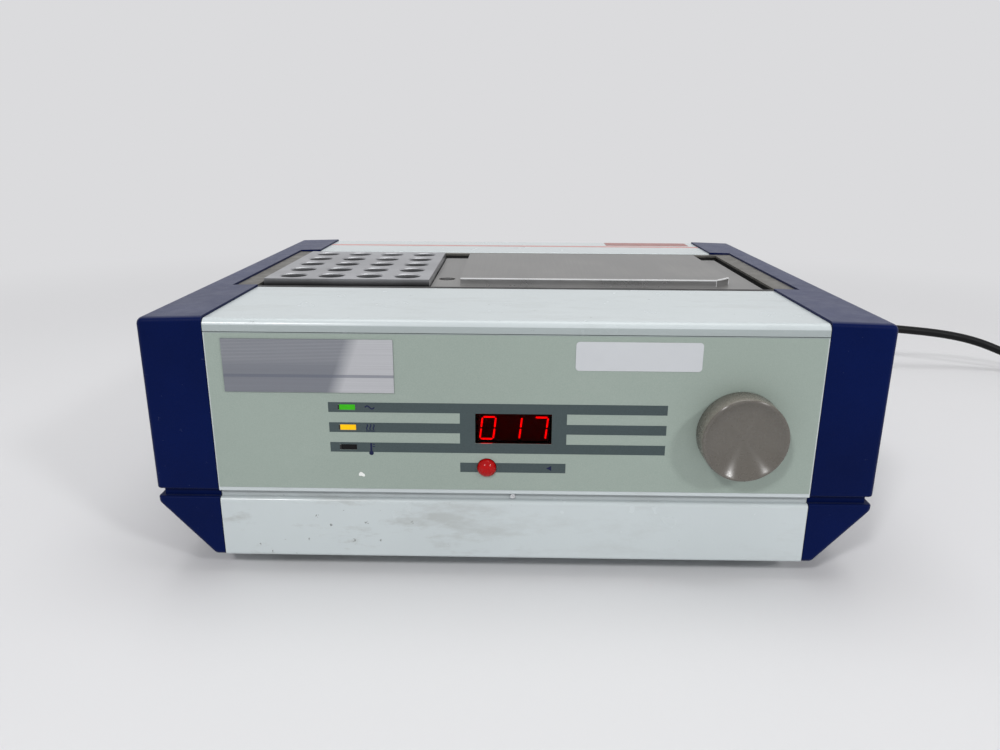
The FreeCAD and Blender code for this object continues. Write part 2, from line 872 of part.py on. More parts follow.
def front_panel():
    low = S.fascia_low
    leg = FRONT + S.groove_deep
    panel = fold("front_panel", [
        (FRONT, low), (leg, low), (leg, low - S.fascia_leg), (leg + T, low - S.fascia_leg),
        (leg + T, low + T), (FRONT + T, low + T), (FRONT + T, FASCIA_TOP - T),
        (FRONT + S.return_deep, FASCIA_TOP - T), (FRONT + S.return_deep, FASCIA_TOP), (FRONT, FASCIA_TOP),
    ], EDGE, [(S.fascia_lip_round, [(FRONT, low)])])
    side_flanges(panel, "panel_flanges", (FRONT + T / 2, FRONT + S.flange_deep),
                 (low + T * 2, FASCIA_TOP - T * 2))
    through_front(panel, "panel_holes", panel_windows(S.window_gap, S.bush_radius + S.shaft_gap), FRONT,
                  inwards=True)
    middle = (0, GROOVE_MIDDLE, S.groove_screw_radius + S.shaft_gap)
    through_front(panel, "panel_screw_hole", [middle], leg, inwards=True)


def front_cover():
    fold("front_cover", [
        (FRONT, DECK), (FRONT, DECK - S.cover_lip), (FRONT + T, DECK - S.cover_lip), (FRONT + T, DECK - T),
        (WELL_FRONT - T - S.seat_gap, DECK - T), (WELL_FRONT - T - S.seat_gap, DECK - S.cover_flange),
        (WELL_FRONT - S.seat_gap, DECK - S.cover_flange), (WELL_FRONT - S.seat_gap, DECK),
    ], EDGE, [
        (S.cover_round, [(FRONT, DECK)]),
        (S.cover_round - T, [(FRONT + T, DECK - T)]),
        (S.fold_round, [(WELL_FRONT - S.seat_gap, DECK)]),
        (BEND_IN, [(WELL_FRONT - T - S.seat_gap, DECK - T)]),
    ])


def rear_cover():
    near_well = WELL_REAR + S.seat_gap
    fold("rear_cover", [
        (near_well, DECK), (near_well, DECK - S.cover_flange), (near_well + T, DECK - S.cover_flange),
        (near_well + T, DECK - T), (REAR - T, DECK - T), (REAR - T, DECK - S.rear_lip),
        (REAR, DECK - S.rear_lip), (REAR, DECK),
    ], EDGE, [
        (S.cover_round, [(REAR, DECK)]),
        (S.cover_round - T, [(REAR - T, DECK - T)]),
        (S.fold_round, [(near_well, DECK)]),
        (BEND_IN, [(near_well + T, DECK - T)]),
    ])


def rear_panel():
    low = S.tray_wall_top
    wall = PANEL_REAR
    panel = fold("rear_panel", [
        (wall, low), (REAR - T, low), (REAR - T, low + T), (wall, low + T), (wall, DECK - T),
        (wall - T, DECK - T), (wall - T, low),
    ], EDGE - S.sheet, [(S.fold_round, [(wall - T, low)])])
    side_flanges(panel, "rear_flanges", (wall - S.flange_deep, wall - T / 2),
                 (low + T * 2, DECK - S.cover_flange))
    cuts = [
        (*centred(SWITCH_X, S.switch_width + S.window_gap * 2),
         *centred(SWITCH_Z, S.switch_tall + S.window_gap * 2)),
        (FUSE_X, SWITCH_Z, S.fuse_radius + S.window_gap),
        (S.cord_place, S.cord_height, S.relief_radius + S.window_gap),
    ]
    for offset in spread(S.slot_pitch, S.slot_count):
        cuts.append((*centred(offset - S.slot_middle, S.slot_width), *centred(S.slot_height, S.slot_tall)))
    through_front(panel, "rear_cuts", cuts, wall, inwards=False)


def side_plate(name, sign):
    """A U-shaped end frame of the chassis, open where the well passes through."""
    plate = body(name)
    outside = INNER if sign > 0 else -INNER + S.sheet
    outline = sketch(plate, name + "_outline", "YZ_Plane", outside - S.sheet)
    front = FRONT + S.return_deep + S.seat_gap
    rear = REAR - S.groove_deep - S.seat_gap
    high = DECK - T
    slot_front = WELL_FRONT - T - S.seat_gap * 2
    slot_rear = WELL_REAR + T + S.seat_gap * 2
    polygon(outline, [
        (front, FLOOR), (rear, FLOOR), (rear, S.tray_wall_top - T - S.seat_gap),
        (rear - T, S.tray_wall_top - T - S.seat_gap), (rear - T, high), (slot_rear, high),
        (slot_rear, S.liner_floor - S.seat_gap), (slot_front, S.liner_floor - S.seat_gap),
        (slot_front, high), (front, high),
    ])
    pad(plate, outline, S.sheet)
    holes = sketch(plate, name + "_holes", "YZ_Plane", outside - S.sheet)
    for y, z in boss_places():
        circle(holes, y, z, S.screw_radius + S.window_gap)
    pocket(plate, holes, S.sheet * 2, backwards=True)


base_tray()
front_panel()
front_cover()
rear_cover()
rear_panel()
side_plate("right_side_plate", 1)
side_plate("left_side_plate", -1)


# Heated well

def well_frame():
    frame = body("well_frame")
    drawn = sketch(frame, "frame_outline", "XY_Plane", LEDGE)
    reach = INNER + S.frame_reach
    rectangle(drawn, (-reach, reach), (WELL_FRONT + S.seat_gap, WELL_REAR - S.seat_gap))
    pad(frame, drawn, S.frame_thick)
    opening = sketch(frame, "frame_opening", "XY_Plane", LEDGE)
    rectangle(opening, (-FRAME_IN, FRAME_IN), (FRAME_FRONT, FRAME_REAR))
    pocket(frame, opening, S.frame_thick * 2, backwards=True)


def cutout_place():
    return (S.cutout_place, (FRAME_FRONT + FRAME_REAR) / 2)


def well_liner():
    """A deep sheet box that hangs below the frame."""
    liner = body("well_liner")
    drawn = sketch(liner, "liner_outline", "XY_Plane", S.liner_floor)
    front = FRAME_FRONT - S.liner_gap
    rear = FRAME_REAR + S.liner_gap
    rectangle(drawn, (-LINER_OUT, LINER_OUT), (front - T, rear + T))
    block = pad(liner, drawn, LEDGE - S.liner_floor)
    corners = [(x, y) for x in (-LINER_OUT, LINER_OUT) for y in (front - T, rear + T)]
    round_edges(liner, block, S.liner_round, at_line("z", "x", "y", corners))
    inside = sketch(liner, "liner_inside", "XY_Plane", S.liner_floor + T)
    rectangle(inside, (T - LINER_OUT, LINER_OUT - T), (front, rear))
    pocket(liner, inside, LEDGE - S.liner_floor, backwards=True)
    cutout_hole = sketch(liner, "liner_cutout_hole", "XY_Plane", S.liner_floor)
    circle(cutout_hole, *cutout_place(), S.cutout_radius + S.seat_gap)
    pocket(liner, cutout_hole, T * 2, backwards=True)
    probe_hole = sketch(liner, "liner_probe_hole", "XZ_Plane", T * 2 - front)
    circle(probe_hole, -S.probe_place, PROBE_HEIGHT, S.probe_radius + S.seat_gap)
    pocket(liner, probe_hole, T * 4)


def heater_span(margin=0.0):
    """The heater plate's footprint, a margin smaller where asked."""
    left = BLOCK_LEFT + margin
    right = PLATE_RIGHT - margin
    front = BLOCK_FRONT - S.heater_margin + margin
    rear = BLOCK_REAR + S.heater_margin - margin
    return (left, right), (front, rear)


def layer(name, low, thick, margin=0.0):
    """One flat layer of the heater stack, with a hole for the thermal cut-out."""
    x, y = heater_span(margin)
    plain = box(name + "_blank", x, y, (low, low + thick))
    cx, cy = cutout_place()
    hole = cylinder(name + "_hole", "Z", S.cutout_radius + S.seat_gap, thick * 3, (cx, cy, low - thick))
    cut(name, plain, hole)


def thermal_cutout():
    """A snap-disc thermostat that looks up at the heater plate, its two tabs below the liner."""
    cx, cy = cutout_place()
    disc_low = HEATER_LOW - S.cutout_tall
    pieces = [cylinder("cutout_disc", "Z", S.cutout_radius, S.cutout_tall, (cx, cy, disc_low))]
    for side, sign in (("left", -1), ("right", 1)):
        pieces.append(box(
            f"cutout_tab_{side}",
            centred(cx + S.cutout_radius / 2 * sign, S.cutout_tab_thick),
            centred(cy, S.cutout_tab_width),
            (disc_low - S.cutout_tab_long, disc_low + S.join),
        ))
    fuse("thermal_cutout", *pieces)


def heater():
    x, y = heater_span()
    slab = box("heater_slab", x, y, (HEATER_LOW, BLOCK_LOW))
    bore = cylinder("heater_probe_bore", "Y", S.probe_radius + S.shaft_gap, S.probe_in + T,
                    (-S.probe_place, y[0] - T, PROBE_HEIGHT))
    cut("heater_plate", slab, bore)
    layer("heater_mat", MAT_LOW, S.mat_thick, S.mat_margin)
    layer("clamp_plate", CLAMP_LOW, S.clamp_thick, S.clamp_margin)
    layer("insulation_board", INSULATION_LOW, S.insulation_thick)
    cylinder("temperature_probe", "Y", S.probe_radius, S.probe_in + S.probe_tail,
             (-S.probe_place, y[0] - S.probe_tail, PROBE_HEIGHT))
    thermal_cutout()


def support_pillars():
    reach = LINER_OUT - S.pillar_in
    posts = []
    for i, px in enumerate((-reach, reach)):
        for j, py in enumerate((FRAME_FRONT + S.pillar_inset, FRAME_REAR - S.pillar_inset)):
            posts.append(cylinder(f"pillar_{i}{j}", "Z", S.pillar_radius, S.liner_floor - FLOOR,
                                  (px, py, FLOOR)))
    group("support_pillars", *posts)


well_frame()
well_liner()
heater()
support_pillars()


# Removable blocks

def well_places():
    """The middles of the tube wells, column by column."""
    middle_x = BLOCK_LEFT + BLOCK_WIDTH / 2
    middle_y = BLOCK_FRONT + S.block_depth / 2
    columns = int(S.tube_columns.value)
    rows = int(S.tube_rows.value)
    return [(middle_x + S.tube_pitch * (i - (columns - 1) / 2), middle_y + S.tube_pitch * (j - (rows - 1) / 2))
            for i in range(columns) for j in range(rows)]


def tube_block():
    """One well is drilled with a pointed tip and a chamfered mouth, then repeated in columns and rows."""
    block = body("tube_block")
    drawn = sketch(block, "tube_block_outline", "XY_Plane", BLOCK_LOW)
    rectangle(drawn, (BLOCK_LEFT, BLOCK_LEFT + BLOCK_WIDTH), (BLOCK_FRONT, BLOCK_REAR))
    pad(block, drawn, S.block_tall)
    cx, cy = well_places()[0]
    wall = cx + S.tube_radius
    tip = BLOCK_TOP - S.tube_deep
    well = sketch(block, "tube_well", "XZ_Plane", -cy)
    polygon(well, [
        (cx, tip), (wall, tip + S.tube_tip), (wall, BLOCK_TOP - S.tube_rim), (wall + S.tube_rim, BLOCK_TOP),
        (cx, BLOCK_TOP),
    ])
    spun = block.newObject("PartDesign::Groove", "tube_well_groove")
    spun.Profile = well
    spun.Angle = 360
    line = block.newObject("PartDesign::Line", "tube_well_axis")
    bind(line, Placement_Base_x=cx, Placement_Base_y=cy)
    spun.ReferenceAxis = (line, [""])
    doc.recompute()
    columns = block.newObject("PartDesign::LinearPattern", "tube_columns")
    rows = block.newObject("PartDesign::LinearPattern", "tube_rows_pattern")
    wells = block.newObject("PartDesign::MultiTransform", "tube_wells")
    wells.Originals = [spun]
    for pattern, axis, number in ((columns, "H_Axis", S.tube_columns), (rows, "V_Axis", S.tube_rows)):
        pattern.Direction = (drawn, [axis])
        bind(pattern, Length=S.tube_pitch * (number - 1), Occurrences=number)
    wells.Transformations = [columns, rows]
    block.Tip = wells
    doc.recompute()


def plate_block():
    """The double-width block: a flat raised pad with one clipped corner, and a thermometer hole."""
    block = body("plate_block")
    low_top = BLOCK_TOP - S.pad_step
    drawn = sketch(block, "plate_block_outline", "XY_Plane", BLOCK_LOW)
    rectangle(drawn, (PLATE_LEFT, PLATE_RIGHT), (BLOCK_FRONT, BLOCK_REAR))
    pad(block, drawn, S.block_tall - S.pad_step)
    raised = sketch(block, "plate_block_pad", "XY_Plane", low_top)
    left = PLATE_LEFT + S.pad_left
    right = PLATE_RIGHT - S.pad_right
    front = BLOCK_FRONT + S.pad_front
    rear = BLOCK_REAR - S.pad_rear
    polygon(raised, [
        (left, front), (right - S.pad_corner, front), (right, front + S.pad_corner), (right, rear),
        (left, rear),
    ])
    pad(block, raised, S.pad_step)
    hole = sketch(block, "thermometer_hole", "XY_Plane", low_top)
    circle(hole, PLATE_LEFT + S.thermometer_in, BLOCK_FRONT + S.thermometer_back, S.thermometer_radius)
    pocket(block, hole, S.thermometer_deep)


tube_block()
plate_block()


# Turned pieces

def turned(name, axis, at, points, bulging=None, hollow=None):
    """A body spun about a line through the point at; points are (along, radius) pairs."""
    made = body(name)
    role, spin = {"Y": ("YZ_Plane", "H_Axis"), "Z": ("XZ_Plane", "V_Axis")}[axis]
    x, y, z = (size(value) for value in at)
    drawn = sketch(made, name + "_profile", role)
    offset = (y, z, x) if axis == "Y" else (x, z, -y)
    for letter, value in zip("xyz", offset):
        drawn.setExpression(f"AttachmentOffset.Base.{letter}", value.text)
    polygon(drawn, points if axis == "Y" else [(r, along) for along, r in points], bulging, hollow)
    spun = made.newObject("PartDesign::Revolution", name + "_spin")
    spun.Profile = drawn
    spun.ReferenceAxis = (drawn, [spin])
    spun.Angle = 360
    doc.recompute()
    return made


def crown_radius(rim, height):
    """The radius of the sphere whose cap has the given rim radius and height."""
    return (rim * rim + height * height) / (height * 2)


# Front panel dressing

def overlay():
    skin = body("fascia_overlay")
    drawn = sketch(skin, "overlay_outline", "XZ_Plane", -FACE)
    reach = EDGE - S.overlay_border
    rectangle(drawn, (-reach, reach), (S.fascia_low + S.overlay_rise, FASCIA_TOP - S.seat_gap))
    pad(skin, drawn, S.overlay_thick, backwards=True)
    through_front(skin, "overlay_windows", panel_windows(S.window_gap / 2, S.bush_radius + S.seat_gap), FACE,
                  inwards=True)


def name_plate():
    left = S.plate_in - EDGE
    high = FASCIA_TOP - S.plate_drop
    box("name_plate", (left, left + S.plate_width), (FACE - S.plate_thick, FACE), (high - S.plate_tall, high))


def asset_label():
    label = body("asset_label")
    drawn = sketch(label, "label_outline", "XZ_Plane", S.label_thick - FACE)
    right = EDGE - S.label_in
    high = FASCIA_TOP - S.label_drop
    x = (right - S.label_width, right)
    z = (high - S.label_tall, high)
    rectangle(drawn, x, z)
    slab = pad(label, drawn, S.label_thick, backwards=True)
    round_edges(label, slab, S.label_round, at_line("y", "x", "z", [(a, b) for a in x for b in z]))


def display_and_lamps():
    front = FACE + S.window_sink
    back = front + S.display_thick
    box("display_window", centred(0, S.display_width), (front, back), centred(BAR_MIDDLE, S.display_tall))
    box("display_module", centred(0, S.display_width - S.display_rim * 2), (back + S.seat_gap, BOARD_Y),
        centred(BAR_MIDDLE, S.display_tall - S.display_rim))
    for name, z in zip(("power_led", "heat_led", "limit_led"), led_heights()):
        box(name, centred(LED_X, S.led_width), (front, BOARD_Y), centred(z, S.led_tall))


def display_board():
    x = (LED_X - S.display_board_over, S.display_width / 2 + S.display_board_over)
    z = (BUTTON_Z - S.display_board_under, BAR_MIDDLE + S.display_board_above)
    box("display_board", x, (BOARD_Y, BOARD_Y + S.board_thick), z)
    panel_back = FRONT + T
    spacers = []
    for i, px in enumerate((x[0] + S.spacer_inset, x[1] - S.spacer_inset)):
        for j, pz in enumerate((z[0] + S.spacer_inset, z[1] - S.spacer_inset)):
            spacers.append(cylinder(f"spacer_{i}{j}", "Y", S.spacer_radius, BOARD_Y - panel_back,
                                    (px, panel_back, pz)))
    group("display_spacers", *spacers)


def set_button():
    """A crowned push button, held in front of its switch by a stem that reaches into the case."""
    x = -S.button_place
    shoulder = FACE - S.button_collar
    back = FRONT + T + S.button_travel
    switch_front = back + S.button_travel + S.seat_gap
    stem_end = switch_front + S.stem_in
    turned("set_button", "Y", (x, 0, BUTTON_Z), [
        (stem_end, 0), (stem_end, S.stem_radius), (back, S.stem_radius), (back, S.button_radius),
        (shoulder, S.button_radius), (shoulder - S.button_dome, 0),
    ], bulging={4: crown_radius(S.button_radius, S.button_dome)})
    case = box("switch_case", centred(x, S.button_case), (switch_front, BOARD_Y),
               centred(BUTTON_Z, S.button_case))
    bore_deep = S.stem_in + S.button_travel + S.seat_gap
    bore = cylinder("switch_bore", "Y", S.stem_radius + S.seat_gap, bore_deep + S.join,
                    (x, switch_front - S.join, BUTTON_Z))
    cut("button_switch", case, bore)


def control_knob():
    """A hollow moulded knob with a dished face, a skirt and a bored hub."""
    front = FRONT - S.knob_stand
    back = FACE - S.knob_gap
    dish = front + S.knob_dish
    web = dish + S.knob_web
    bore_end = dish + S.shaft_cover
    hub_end = FRONT - S.hub_back
    bored = S.shaft_radius + S.shaft_gap
    rim = S.knob_radius - S.knob_edge - S.knob_rim
    turned("control_knob", "Y", (KNOB_X, 0, KNOB_Z), [
        (bore_end, 0), (bore_end, bored), (hub_end, bored), (hub_end, S.hub_radius), (web, S.hub_radius),
        (web, S.knob_radius - S.knob_wall), (back, S.knob_skirt_radius - S.knob_wall),
        (back, S.knob_skirt_radius), (front + S.knob_edge, S.knob_radius), (front, S.knob_radius - S.knob_edge),
        (front, rim), (dish, 0),
    ], hollow={10: crown_radius(rim, S.knob_dish)})
    shaft_end = FRONT + T + S.shaft_in
    cylinder("pot_shaft", "Y", S.shaft_radius, shaft_end - bore_end, (KNOB_X, bore_end, KNOB_Z))
    temperature_pot(bored, shaft_end)


def temperature_pot(bored, shaft_end):
    """The potentiometer's case behind the panel, its bush through it and the nut in front."""
    panel_back = FRONT + T
    case_back = shaft_end + S.pot_back
    bush_front = FRONT - S.bush_stand
    bore_end = shaft_end + S.seat_gap
    turned("temperature_pot", "Y", (KNOB_X, 0, KNOB_Z), [
        (bush_front, bored), (bore_end, bored), (bore_end, 0), (case_back, 0), (case_back, S.pot_radius),
        (panel_back, S.pot_radius), (panel_back, S.bush_radius), (bush_front, S.bush_radius),
    ])
    nut = body("pot_nut")
    drawn = sketch(nut, "nut_outline", "XZ_Plane", S.pot_nut_thick - FACE)
    hexagon(drawn, KNOB_X, KNOB_Z, S.pot_nut_radius)
    circle(drawn, KNOB_X, KNOB_Z, S.bush_radius + S.shaft_gap)
    pad(nut, drawn, S.pot_nut_thick, backwards=True)


overlay()
name_plate()
asset_label()
display_and_lamps()
display_board()
set_button()
control_knob()


# Electronics on the tray

def control_board():
    low = FLOOR + S.board_stand
    left = S.board_in - EDGE
    front = FRONT + S.board_front_gap
    x = (left, left + S.board_length)
    y = (front, front + S.board_depth)
    box("control_board", x, y, (low, low + S.board_thick))
    stands = []
    for i, px in enumerate((x[0] + S.stand_inset, x[1] - S.stand_inset)):
        for j, py in enumerate((y[0] + S.stand_inset, y[1] - S.stand_inset)):
            stands.append(cylinder(f"stand_{i}{j}", "Z", S.stand_radius, S.board_stand, (px, py, FLOOR)))
    group("board_stands", *stands)
    board_components(x, y, low + S.board_thick)


def board_components(x, y, top):
    """Relay, terminal strip, chip and a row of capacitors, on the board's top face."""
    relay_x = x[0] + S.board_margin
    front = y[0] + S.board_margin
    second_x = relay_x + S.relay_length + S.part_gap
    strip_front = y[1] - S.strip_depth - S.join
    chip_front = strip_front - S.part_gap - S.chip_depth
    parts = [
        box("relay", (relay_x, relay_x + S.relay_length), (front, front + S.relay_depth),
            (top, top + S.relay_tall)),
        box("terminal_strip", (second_x, second_x + S.strip_length), (strip_front, strip_front + S.strip_depth),
            (top, top + S.strip_tall)),
        box("control_chip", (second_x, second_x + S.chip_length), (chip_front, chip_front + S.chip_depth),
            (top, top + S.chip_tall)),
    ]
    last_x = x[1] - S.board_margin - S.capacitor_radius
    for i in range(int(S.capacitor_count.value)):
        parts.append(cylinder(f"capacitor_{i}", "Z", S.capacitor_radius, S.capacitor_tall,
                              (last_x - S.capacitor_pitch * i, front + S.capacitor_radius, top)))
    group("board_components", *parts)


def transformer():
    """A shell-type core with its winding on the middle leg."""
    middle_x = EDGE - S.core_in
    front = FRONT + S.core_front_gap
    x = centred(middle_x, S.core_width)
    y = (front, front + S.core_depth)
    z = (FLOOR, FLOOR + S.core_tall)
    leg = S.core_leg
    gap = S.seat_gap
    window = (S.core_width - leg * 4) / 2
    iron = box("core_block", x, y, z)
    holes = []
    for name, low in (("left", x[0] + leg), ("right", x[1] - leg - window)):
        holes.append(box(f"core_window_{name}", (low, low + window), (y[0] - leg, y[1] + leg),
                         (z[0] + leg, z[1] - leg)))
    cut("transformer_core", iron, *holes)
    coil_z = (z[0] + leg + gap, z[1] - leg - gap)
    wound = box("coil_block", (x[0] + leg + gap, x[1] - leg - gap), (y[0] - window, y[1] + window), coil_z)
    passage = box("coil_passage", centred(middle_x, leg * 2 + gap * 2), (y[0] - gap, y[1] + gap),
                  (z[0], z[1]))
    cut("transformer_coil", wound, passage)


def heat_sink():
    """A finned plate against the rear wall; the triac stands in the gap between its two sets of fins."""
    wall = PANEL_REAR - T
    face = wall - S.sink_base
    middle = EDGE - S.sink_in
    z = (S.sink_low, S.sink_low + S.sink_tall)
    pieces = [box("sink_base", centred(middle, S.sink_width), (face, wall), z)]
    for side, sign in (("left", -1), ("right", 1)):
        for i in range(int(S.fins_a_side.value)):
            x = middle + (S.sink_width / 2 - S.fin_thick / 2 - S.fin_pitch * i) * sign
            pieces.append(box(f"sink_fin_{side}_{i}", centred(x, S.fin_thick),
                              (face - S.fin_deep, face + S.join), z))
    fuse("heat_sink", *pieces)
    triac(middle, face)


def triac(middle, face):
    low = S.sink_low + S.triac_rise
    high = low + S.triac_tall
    pieces = [
        box("triac_case", centred(middle, S.triac_width), (face - S.triac_thick, face), (low, high)),
        box("triac_tab", centred(middle, S.triac_width), (face - S.triac_tab_thick, face),
            (high - S.join, high + S.triac_tab_tall)),
    ]
    for i in (-1, 0, 1):
        pieces.append(box(
            f"triac_leg_{i + 1}", centred(middle + S.triac_leg_pitch * i, S.triac_leg_width),
            centred(face - S.triac_thick / 2, S.triac_leg_thick), (low - S.triac_leg_long, low + S.join),
        ))
    fuse("triac", *pieces)


control_board()
transformer()
heat_sink()


# Rear controls

def mains_switch():
    wall = PANEL_REAR
    face = wall + S.switch_bezel
    rim = S.switch_rim * 2
    room = S.rocker_gap * 2
    case = box("switch_body", centred(SWITCH_X, S.switch_width), (wall - S.switch_deep, wall + S.join),
               centred(SWITCH_Z, S.switch_tall))
    bezel = box("switch_bezel_plate", centred(SWITCH_X, S.switch_width + rim), (wall, face),
                centred(SWITCH_Z, S.switch_tall + rim))
    well = box("switch_well", centred(SWITCH_X, S.rocker_width + room),
               (wall - S.switch_well, face + S.switch_bezel), centred(SWITCH_Z, S.rocker_tall + room))
    pivot_y = wall - S.rocker_pivot
    reach = S.rocker_width / 2 + room + S.join
    bore = cylinder("switch_pivot_bore", "X", S.rocker_pin + S.shaft_gap, reach * 2,
                    (SWITCH_X - reach, pivot_y, SWITCH_Z))
    cut("mains_switch", fuse("switch_case_and_bezel", case, bezel), well, bore)
    rocker(pivot_y, reach - S.seat_gap)


def rocker(pivot_y, pin_reach):
    """The dipped key on its pivot pins, modelled about the pivot and tilted to its on side."""
    half = S.rocker_tall / 2
    key = body("rocker_key")
    drawn = sketch(key, "rocker_section", "YZ_Plane", -S.rocker_width / 2)
    crest = S.rocker_crest
    polygon(drawn, [
        (-S.rocker_keel, -S.rocker_keel_half), (-S.join, -half), (crest, -half), (crest - S.rocker_dip, 0),
        (crest, half), (-S.join, half), (-S.rocker_keel, S.rocker_keel_half),
    ])
    pad(key, drawn, S.rocker_width)
    pins = cylinder("rocker_pins", "X", S.rocker_pin, pin_reach * 2, (-pin_reach, 0, 0))
    whole = fuse("mains_rocker", key, pins)
    whole.Placement = FreeCAD.Placement(V(), FreeCAD.Rotation(V(1, 0, 0), 1))
    bind(whole, Placement_Base_x=SWITCH_X, Placement_Base_y=pivot_y, Placement_Base_z=SWITCH_Z)
    bind(whole, Placement_Rotation_Angle=S.rocker_tilt)


def fuse_holder():
    wall = PANEL_REAR
    flange = wall + S.fuse_flange
    low = wall - S.fuse_length
    seat = low + S.fuse_end
    bored = S.fuse_link_radius + S.seat_gap
    turned("fuse_holder", "Y", (FUSE_X, 0, SWITCH_Z), [
        (low, 0), (seat, 0), (seat, bored), (flange, bored), (flange, S.fuse_cap_radius),
        (wall, S.fuse_cap_radius), (wall, S.fuse_radius), (low, S.fuse_radius),
    ])
    cylinder("fuse_link", "Y", S.fuse_link_radius, S.fuse_link_length, (FUSE_X, seat, SWITCH_Z))
    cap = cone("cap_shell", "Y", S.fuse_cap_radius, S.fuse_cap_radius - S.fuse_cap_taper, S.fuse_cap_length,
               (FUSE_X, flange, SWITCH_Z))
    end = flange + S.fuse_cap_length
    slot = box("cap_slot", centred(FUSE_X, S.fuse_cap_radius * 3),
               (end - S.coin_slot_deep, end + S.coin_slot_deep), centred(SWITCH_Z, S.coin_slot_width))
    cut("fuse_cap", cap, slot)


mains_switch()
fuse_holder()


# Feet and screws

def feet():
    """Four rubber feet, each on a screw whose head is sunk in the foot and whose nut is on the tray."""
    rubber = []
    screws = []
    nuts = []
    recess = S.foot_recess_deep
    rod_low = recess - S.join
    rod_high = FLOOR + S.foot_nut_tall + S.foot_thread_over
    for i, (x, y) in enumerate(foot_places()):
        rubber.append(turned(f"foot_{i}", "Z", (x, y, 0), [
            (0, S.foot_recess_radius), (0, S.foot_radius - S.foot_taper), (S.foot_height, S.foot_radius),
            (S.foot_height, S.foot_bore), (recess, S.foot_bore), (recess, S.foot_recess_radius),
        ]))
        head = cylinder(f"foot_head_{i}", "Z", S.foot_head_radius, S.foot_head_tall,
                        (x, y, recess - S.foot_head_tall))
        rod = cylinder(f"foot_rod_{i}", "Z", S.foot_bore - S.thread_gap, rod_high - rod_low, (x, y, rod_low))
        screws.append(fuse(f"foot_screw_{i}", head, rod))
        nut = body(f"foot_nut_{i}")
        drawn = sketch(nut, f"foot_nut_outline_{i}", "XY_Plane", FLOOR)
        hexagon(drawn, x, y, S.foot_nut_radius)
        circle(drawn, x, y, S.foot_bore)
        pad(nut, drawn, S.foot_nut_tall)
        nuts.append(nut)
    group("rubber_feet", *rubber)
    group("foot_screws", *screws)
    group("foot_nuts", *nuts)


def cap_screws():
    """Pan-head screws from inside the side plates into the end caps' bosses."""
    inside = INNER - S.sheet
    screws = []
    for i, (y, z) in enumerate(boss_places()):
        places = {
            "right": (inside - S.screw_head_tall, inside - S.join),
            "left": (-inside, S.join - inside - S.screw_length),
        }
        for side, (head_x, rod_x) in places.items():
            head = cylinder(f"{side}_head_{i}", "X", S.screw_head_radius, S.screw_head_tall, (head_x, y, z))
            rod = cylinder(f"{side}_rod_{i}", "X", S.screw_radius, S.screw_length, (rod_x, y, z))
            screws.append(fuse(f"{side}_screw_{i}", head, rod))
    group("cap_screws", *screws)


def groove_screw():
    seat = FRONT + S.groove_deep
    head = cylinder("groove_head", "Y", S.groove_head_radius, S.groove_head_tall,
                    (0, seat - S.groove_head_tall, GROOVE_MIDDLE))
    rod = cylinder("groove_rod", "Y", S.groove_screw_radius, S.groove_screw_length + S.join,
                   (0, seat - S.join, GROOVE_MIDDLE))
    fuse("groove_screw", head, rod)


feet()
cap_screws()
groove_screw()


# Mains cord

# Chosen by hand along the cord's run: out of the rear, round to the right and down to the bench
CORD_ROUTE = [
    (104.0, 156.75, 48.0),
    (104.0, 177.0, 48.0),
    (113.5, 199.5, 46.8),
    (129.5, 215.5, 45.6),
    (151.0, 223.6, 44.0),
    (196.0, 226.2, 41.6),
    (245.0, 227.4, 39.0),
    (292.0, 227.2, 36.2),
    (335.0, 226.2, 33.4),
    (372.0, 224.6, 30.2),
    (400.0, 221.0, 24.8),
    (424.0, 215.6, 15.4),
    (447.0, 208.6, 7.2),
    (466.0, 200.9, 4.5),
    (484.0, 194.4, 4.4),
]
COIL_MIDDLE = (476.0, 148.0)
# The cord leaves the coil's top turns here and ends in the plug
TAIL_ROUTE = [(521.3, 134.0, 9.2), (521.3, 92.0, 9.2)]


def rounded_path(points):
    """Straight runs joined by tangent arcs, each as large as its two runs allow."""
    edges = []
    corners = [V(*point) for point in points]
    last = corners[0]
    radii = []
    for before, corner, after in zip(corners, corners[1:], corners[2:]):
        back = (before - corner).normalize()
        ahead = (after - corner).normalize()
        half_turn = (math.pi - back.getAngle(ahead)) / 2
        reach = 0.45 * min((corner - before).Length, (after - corner).Length)
        radius = reach / math.tan(half_turn)
        start = corner + back * reach
        end = corner + ahead * reach
        bisector = (back + ahead).normalize()
        middle = corner + bisector * (radius / math.cos(half_turn) - radius)
        edges.append(Part.LineSegment(last, start).toShape())
        edges.append(Part.Arc(start, middle, end).toShape())
        last = end
        radii.append(radius)
    edges.append(Part.LineSegment(last, corners[-1]).toShape())
    return Part.Wire(edges), radii


def tube(name, points, radius):
    path, radii = rounded_path(points)
    direction = V(*points[1]) - V(*points[0])
    ring = Part.Wire([Part.makeCircle(radius, V(*points[0]), direction)])
    made = doc.addObject("Part::Feature", name)
    made.Shape = path.makePipeShell([ring], True, False)
    made.Placement = FreeCAD.Placement()
    section = math.pi * radius ** 2
    print(name, "length", round(path.Length, 1), "radii", [round(value, 1) for value in radii],
          "volume over section times length", round(made.Shape.Volume / (section * path.Length), 4))


